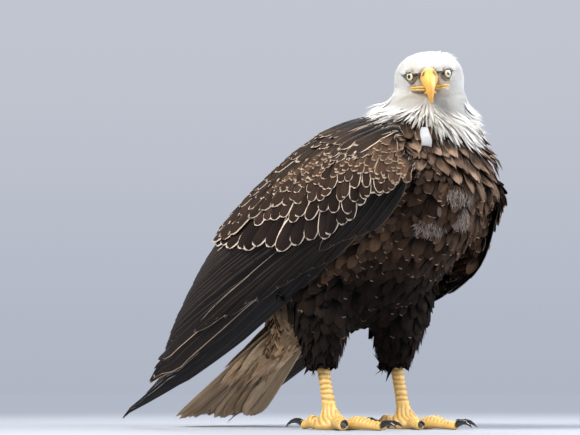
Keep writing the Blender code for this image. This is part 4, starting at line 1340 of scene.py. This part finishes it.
def make_eye(side):
    """A round eye with a pale iris, whose axis points out and ahead, and the rim of its lids."""
    gaze = gaze_of(side)
    mesh = bmesh.new()
    bmesh.ops.create_uvsphere(mesh, u_segments=48, v_segments=40, radius=EYE_RADIUS)
    ball = placed("eye_ball_" + side, mesh)
    places = points_of(ball.data)
    angle = np.degrees(np.arccos(np.clip(places[:, 2] / EYE_RADIUS, -1, 1)))
    put(ball.data, places @ np.array(gaze.to_track_quat("Z", "Y").to_matrix()).T + np.array(EYES[side]))
    paint(ball, painted(PUPIL, (IRIS_RIM, ease(14.5, 16.0, angle)), (IRIS, ease(16.0, 19.5, angle)),
                        (IRIS_RIM, ease(LID_ANGLE - 12, LID_ANGLE - 3, angle) * 0.8),
                        (PUPIL, ease(LID_ANGLE - 4, LID_ANGLE, angle))))
    rode(ball, EYE_LOOK, ("eye_" + side,))
    # lids: a dark rim round the opening
    across = gaze.cross(HEAD_UP).normalized()
    upright = across.cross(gaze).normalized()
    open_by = math.radians(LID_ANGLE)
    lids = []
    for turn in np.linspace(0, 2 * math.pi, 33)[:-1]:
        rim = across * math.cos(turn) + upright * math.sin(turn)
        way = gaze * math.cos(open_by) + rim * math.sin(open_by)
        lids.append(EYES[side] + way * (EYE_RADIUS + 0.0001))
    rim = tube("eye_lids_" + side, lids, [0.00060] * len(lids), closed=True)
    paint(rim, LID_DARK_AND_BROW_SHADE)
    rode(rim, LID_LOOK)


def make_foot(side):
    """A bare yellow foot, with raised scutes across the toes and down the shank."""
    names = ["shank_" + side] + [f"toe_{side}_{toe}" for toe in TOES]
    foot, data = cast_of("foot_" + side, names, FOOT_VOXEL, 4)
    places, normals = points_of(data), normals_of(data)
    home = home_places(places)
    shank = home[2] > ANKLE
    reach = np.linalg.norm(home[:2] - home[:2].mean(1, keepdims=True), axis=0)
    plates = np.where(shank, np.sin(home[2] * 900 + 1.2 * waver(places, 0.006, 11)), np.sin(reach * 1100))
    top = ease(-0.2, 0.5, normals[:, 2] + 0.6 * shank)
    places = places + normals * (0.0004 * np.sign(plates) * np.abs(plates) ** 0.5 * top)[:, None]
    places[:, 2] = np.maximum(places[:, 2], 0.0)
    put(data, places)
    # painted shade in the grooves between the scutes
    tone = blend(FOOT_YELLOW, FOOT_GROOVE_SHADE, ease(0.1, -0.7, plates) * top * 0.75)
    paint(foot, tone * (1 + 0.1 * waver(places, 0.008, 12))[:, None])
    rode(foot, FOOT_LOOK, names)


def make_talons(side):
    names = [f"talon_{side}_{toe}" for toe in TOES]
    talons, data = cast_of("talons_" + side, names, TALON_VOXEL, 3)
    data.shade_smooth()
    paint(talons, TALON)
    rode(talons, TALON_LOOK, names)


make_bill()
head_tree = tree_of([skin] + [frame["nodes"][name]
                              for name in ("head", "cere", "bill_upper", "bill_lower", "neck")])
for side in SIGN:
    make_eye(side)
    make_gape(side, head_tree)
    make_foot(side)
    make_talons(side)


# ---------------------------------------------------------------- floor, light and camera

VIEW_RIGHT, VIEW_HEIGHT = -0.122, 0.292
CAMERA_DISTANCE, CAMERA_HEIGHT, VIEW_WIDTH, SENSOR = 2.3, 0.05, 0.8056, 36.0
RIGHT, AWAY = Vector((math.sqrt(0.5), -math.sqrt(0.5), 0)), Vector((math.sqrt(0.5), math.sqrt(0.5), 0))
# The sky's colour overhead and at the horizon, and the heights of view between which it changes
SKY, SKY_LOW, SKY_RISE = (0.535, 0.560, 0.632), (0.425, 0.462, 0.550), (-0.04, 0.24)
# how brightly the sky lights the bird, beside its own brightness
SKY_GLOW = 0.65
FLOOR, FLOOR_FADE, BLACK = (0.34, 0.36, 0.40), (0.6, 2.6), (0, 0, 0, 1)
# Each lamp: how far right of the bird, away from the viewer and up, its size, power and colour
LAMPS = {
    "key": (-1.5, -1.7, 2.3, 1.3, 195.0, (1.0, 0.975, 0.94)),
    "fill": (1.8, -1.2, 1.2, 2.0, 40.0, (0.92, 0.95, 1.0)),
    "side": (2.4, -0.1, 0.9, 1.6, 60.0, (0.96, 0.97, 1.0)),
    "back": (0.3, 2.2, 2.2, 1.6, 50.0, (0.95, 0.97, 1.0)),
}


def aimed(obj, place, target):
    obj.location = place
    obj.rotation_euler = (target - obj.location).to_track_quat("-Z", "Y").to_euler()
    return obj


def make_stage():
    mesh = bmesh.new()
    bmesh.ops.create_circle(mesh, cap_ends=True, segments=96, radius=40.0)
    floor = placed("floor", mesh)
    floor.location = (HOME.x, HOME.y, -0.0002)
    look, tree, shader = material("Floor", Roughness=0.9, Emission_Strength=1.0, Specular_IOR_Level=0.1)
    way = wired(tree, "ShaderNodeVectorMath", {"operation": "LENGTH"},
                i0=wired(tree, "ShaderNodeTexCoord").outputs["Object"]).outputs["Value"]
    far = ramp(tree, way, *FLOOR_FADE)
    tree.links.new(mixed(tree, far, (*FLOOR, 1), BLACK), shader.inputs["Base Color"])
    tree.links.new(mixed(tree, far, BLACK, (*SKY_LOW, 1)), shader.inputs["Emission Color"])
    floor.data.materials.append(look)


def make_light():
    bpy.context.scene.view_settings.view_transform = "Standard"
    world = bpy.data.worlds.new("Soft sky")
    bpy.context.scene.world = world
    world.use_nodes = True
    tree = world.node_tree
    sky = tree.nodes["Background"].inputs
    way = wired(tree, "ShaderNodeSeparateXYZ", i0=wired(tree, "ShaderNodeTexCoord").outputs["Generated"])
    up = ramp(tree, way.outputs[2], *SKY_RISE)
    tree.links.new(mixed(tree, up, (*SKY_LOW, 1), (*SKY, 1)), sky["Color"])
    seen = wired(tree, "ShaderNodeLightPath").outputs["Is Camera Ray"]
    tree.links.new(sums(tree, "ADD", SKY_GLOW, sums(tree, "MULTIPLY", seen, 1 - SKY_GLOW)), sky["Strength"])
    target = HOME + Vector((0, 0, 0.3))
    for name, (right, away, up, size, power, colour) in LAMPS.items():
        lamp = bpy.data.lights.new(name, "AREA")
        lamp.shape, lamp.size, lamp.energy, lamp.color = "DISK", size, power, colour
        aimed(placed(name, lamp), target + RIGHT * right + AWAY * away + Vector((0, 0, up)), target)


def make_camera():
    middle = HOME + RIGHT * VIEW_RIGHT
    target = middle + Vector((0, 0, VIEW_HEIGHT))
    eye = middle - AWAY * CAMERA_DISTANCE + Vector((0, 0, CAMERA_HEIGHT))
    lens = bpy.data.cameras.new("camera")
    lens.sensor_width = SENSOR
    lens.lens = SENSOR * (target - eye).length / VIEW_WIDTH
    bpy.context.scene.camera = aimed(placed("camera", lens), eye, target)


make_stage()
make_light()
make_camera()
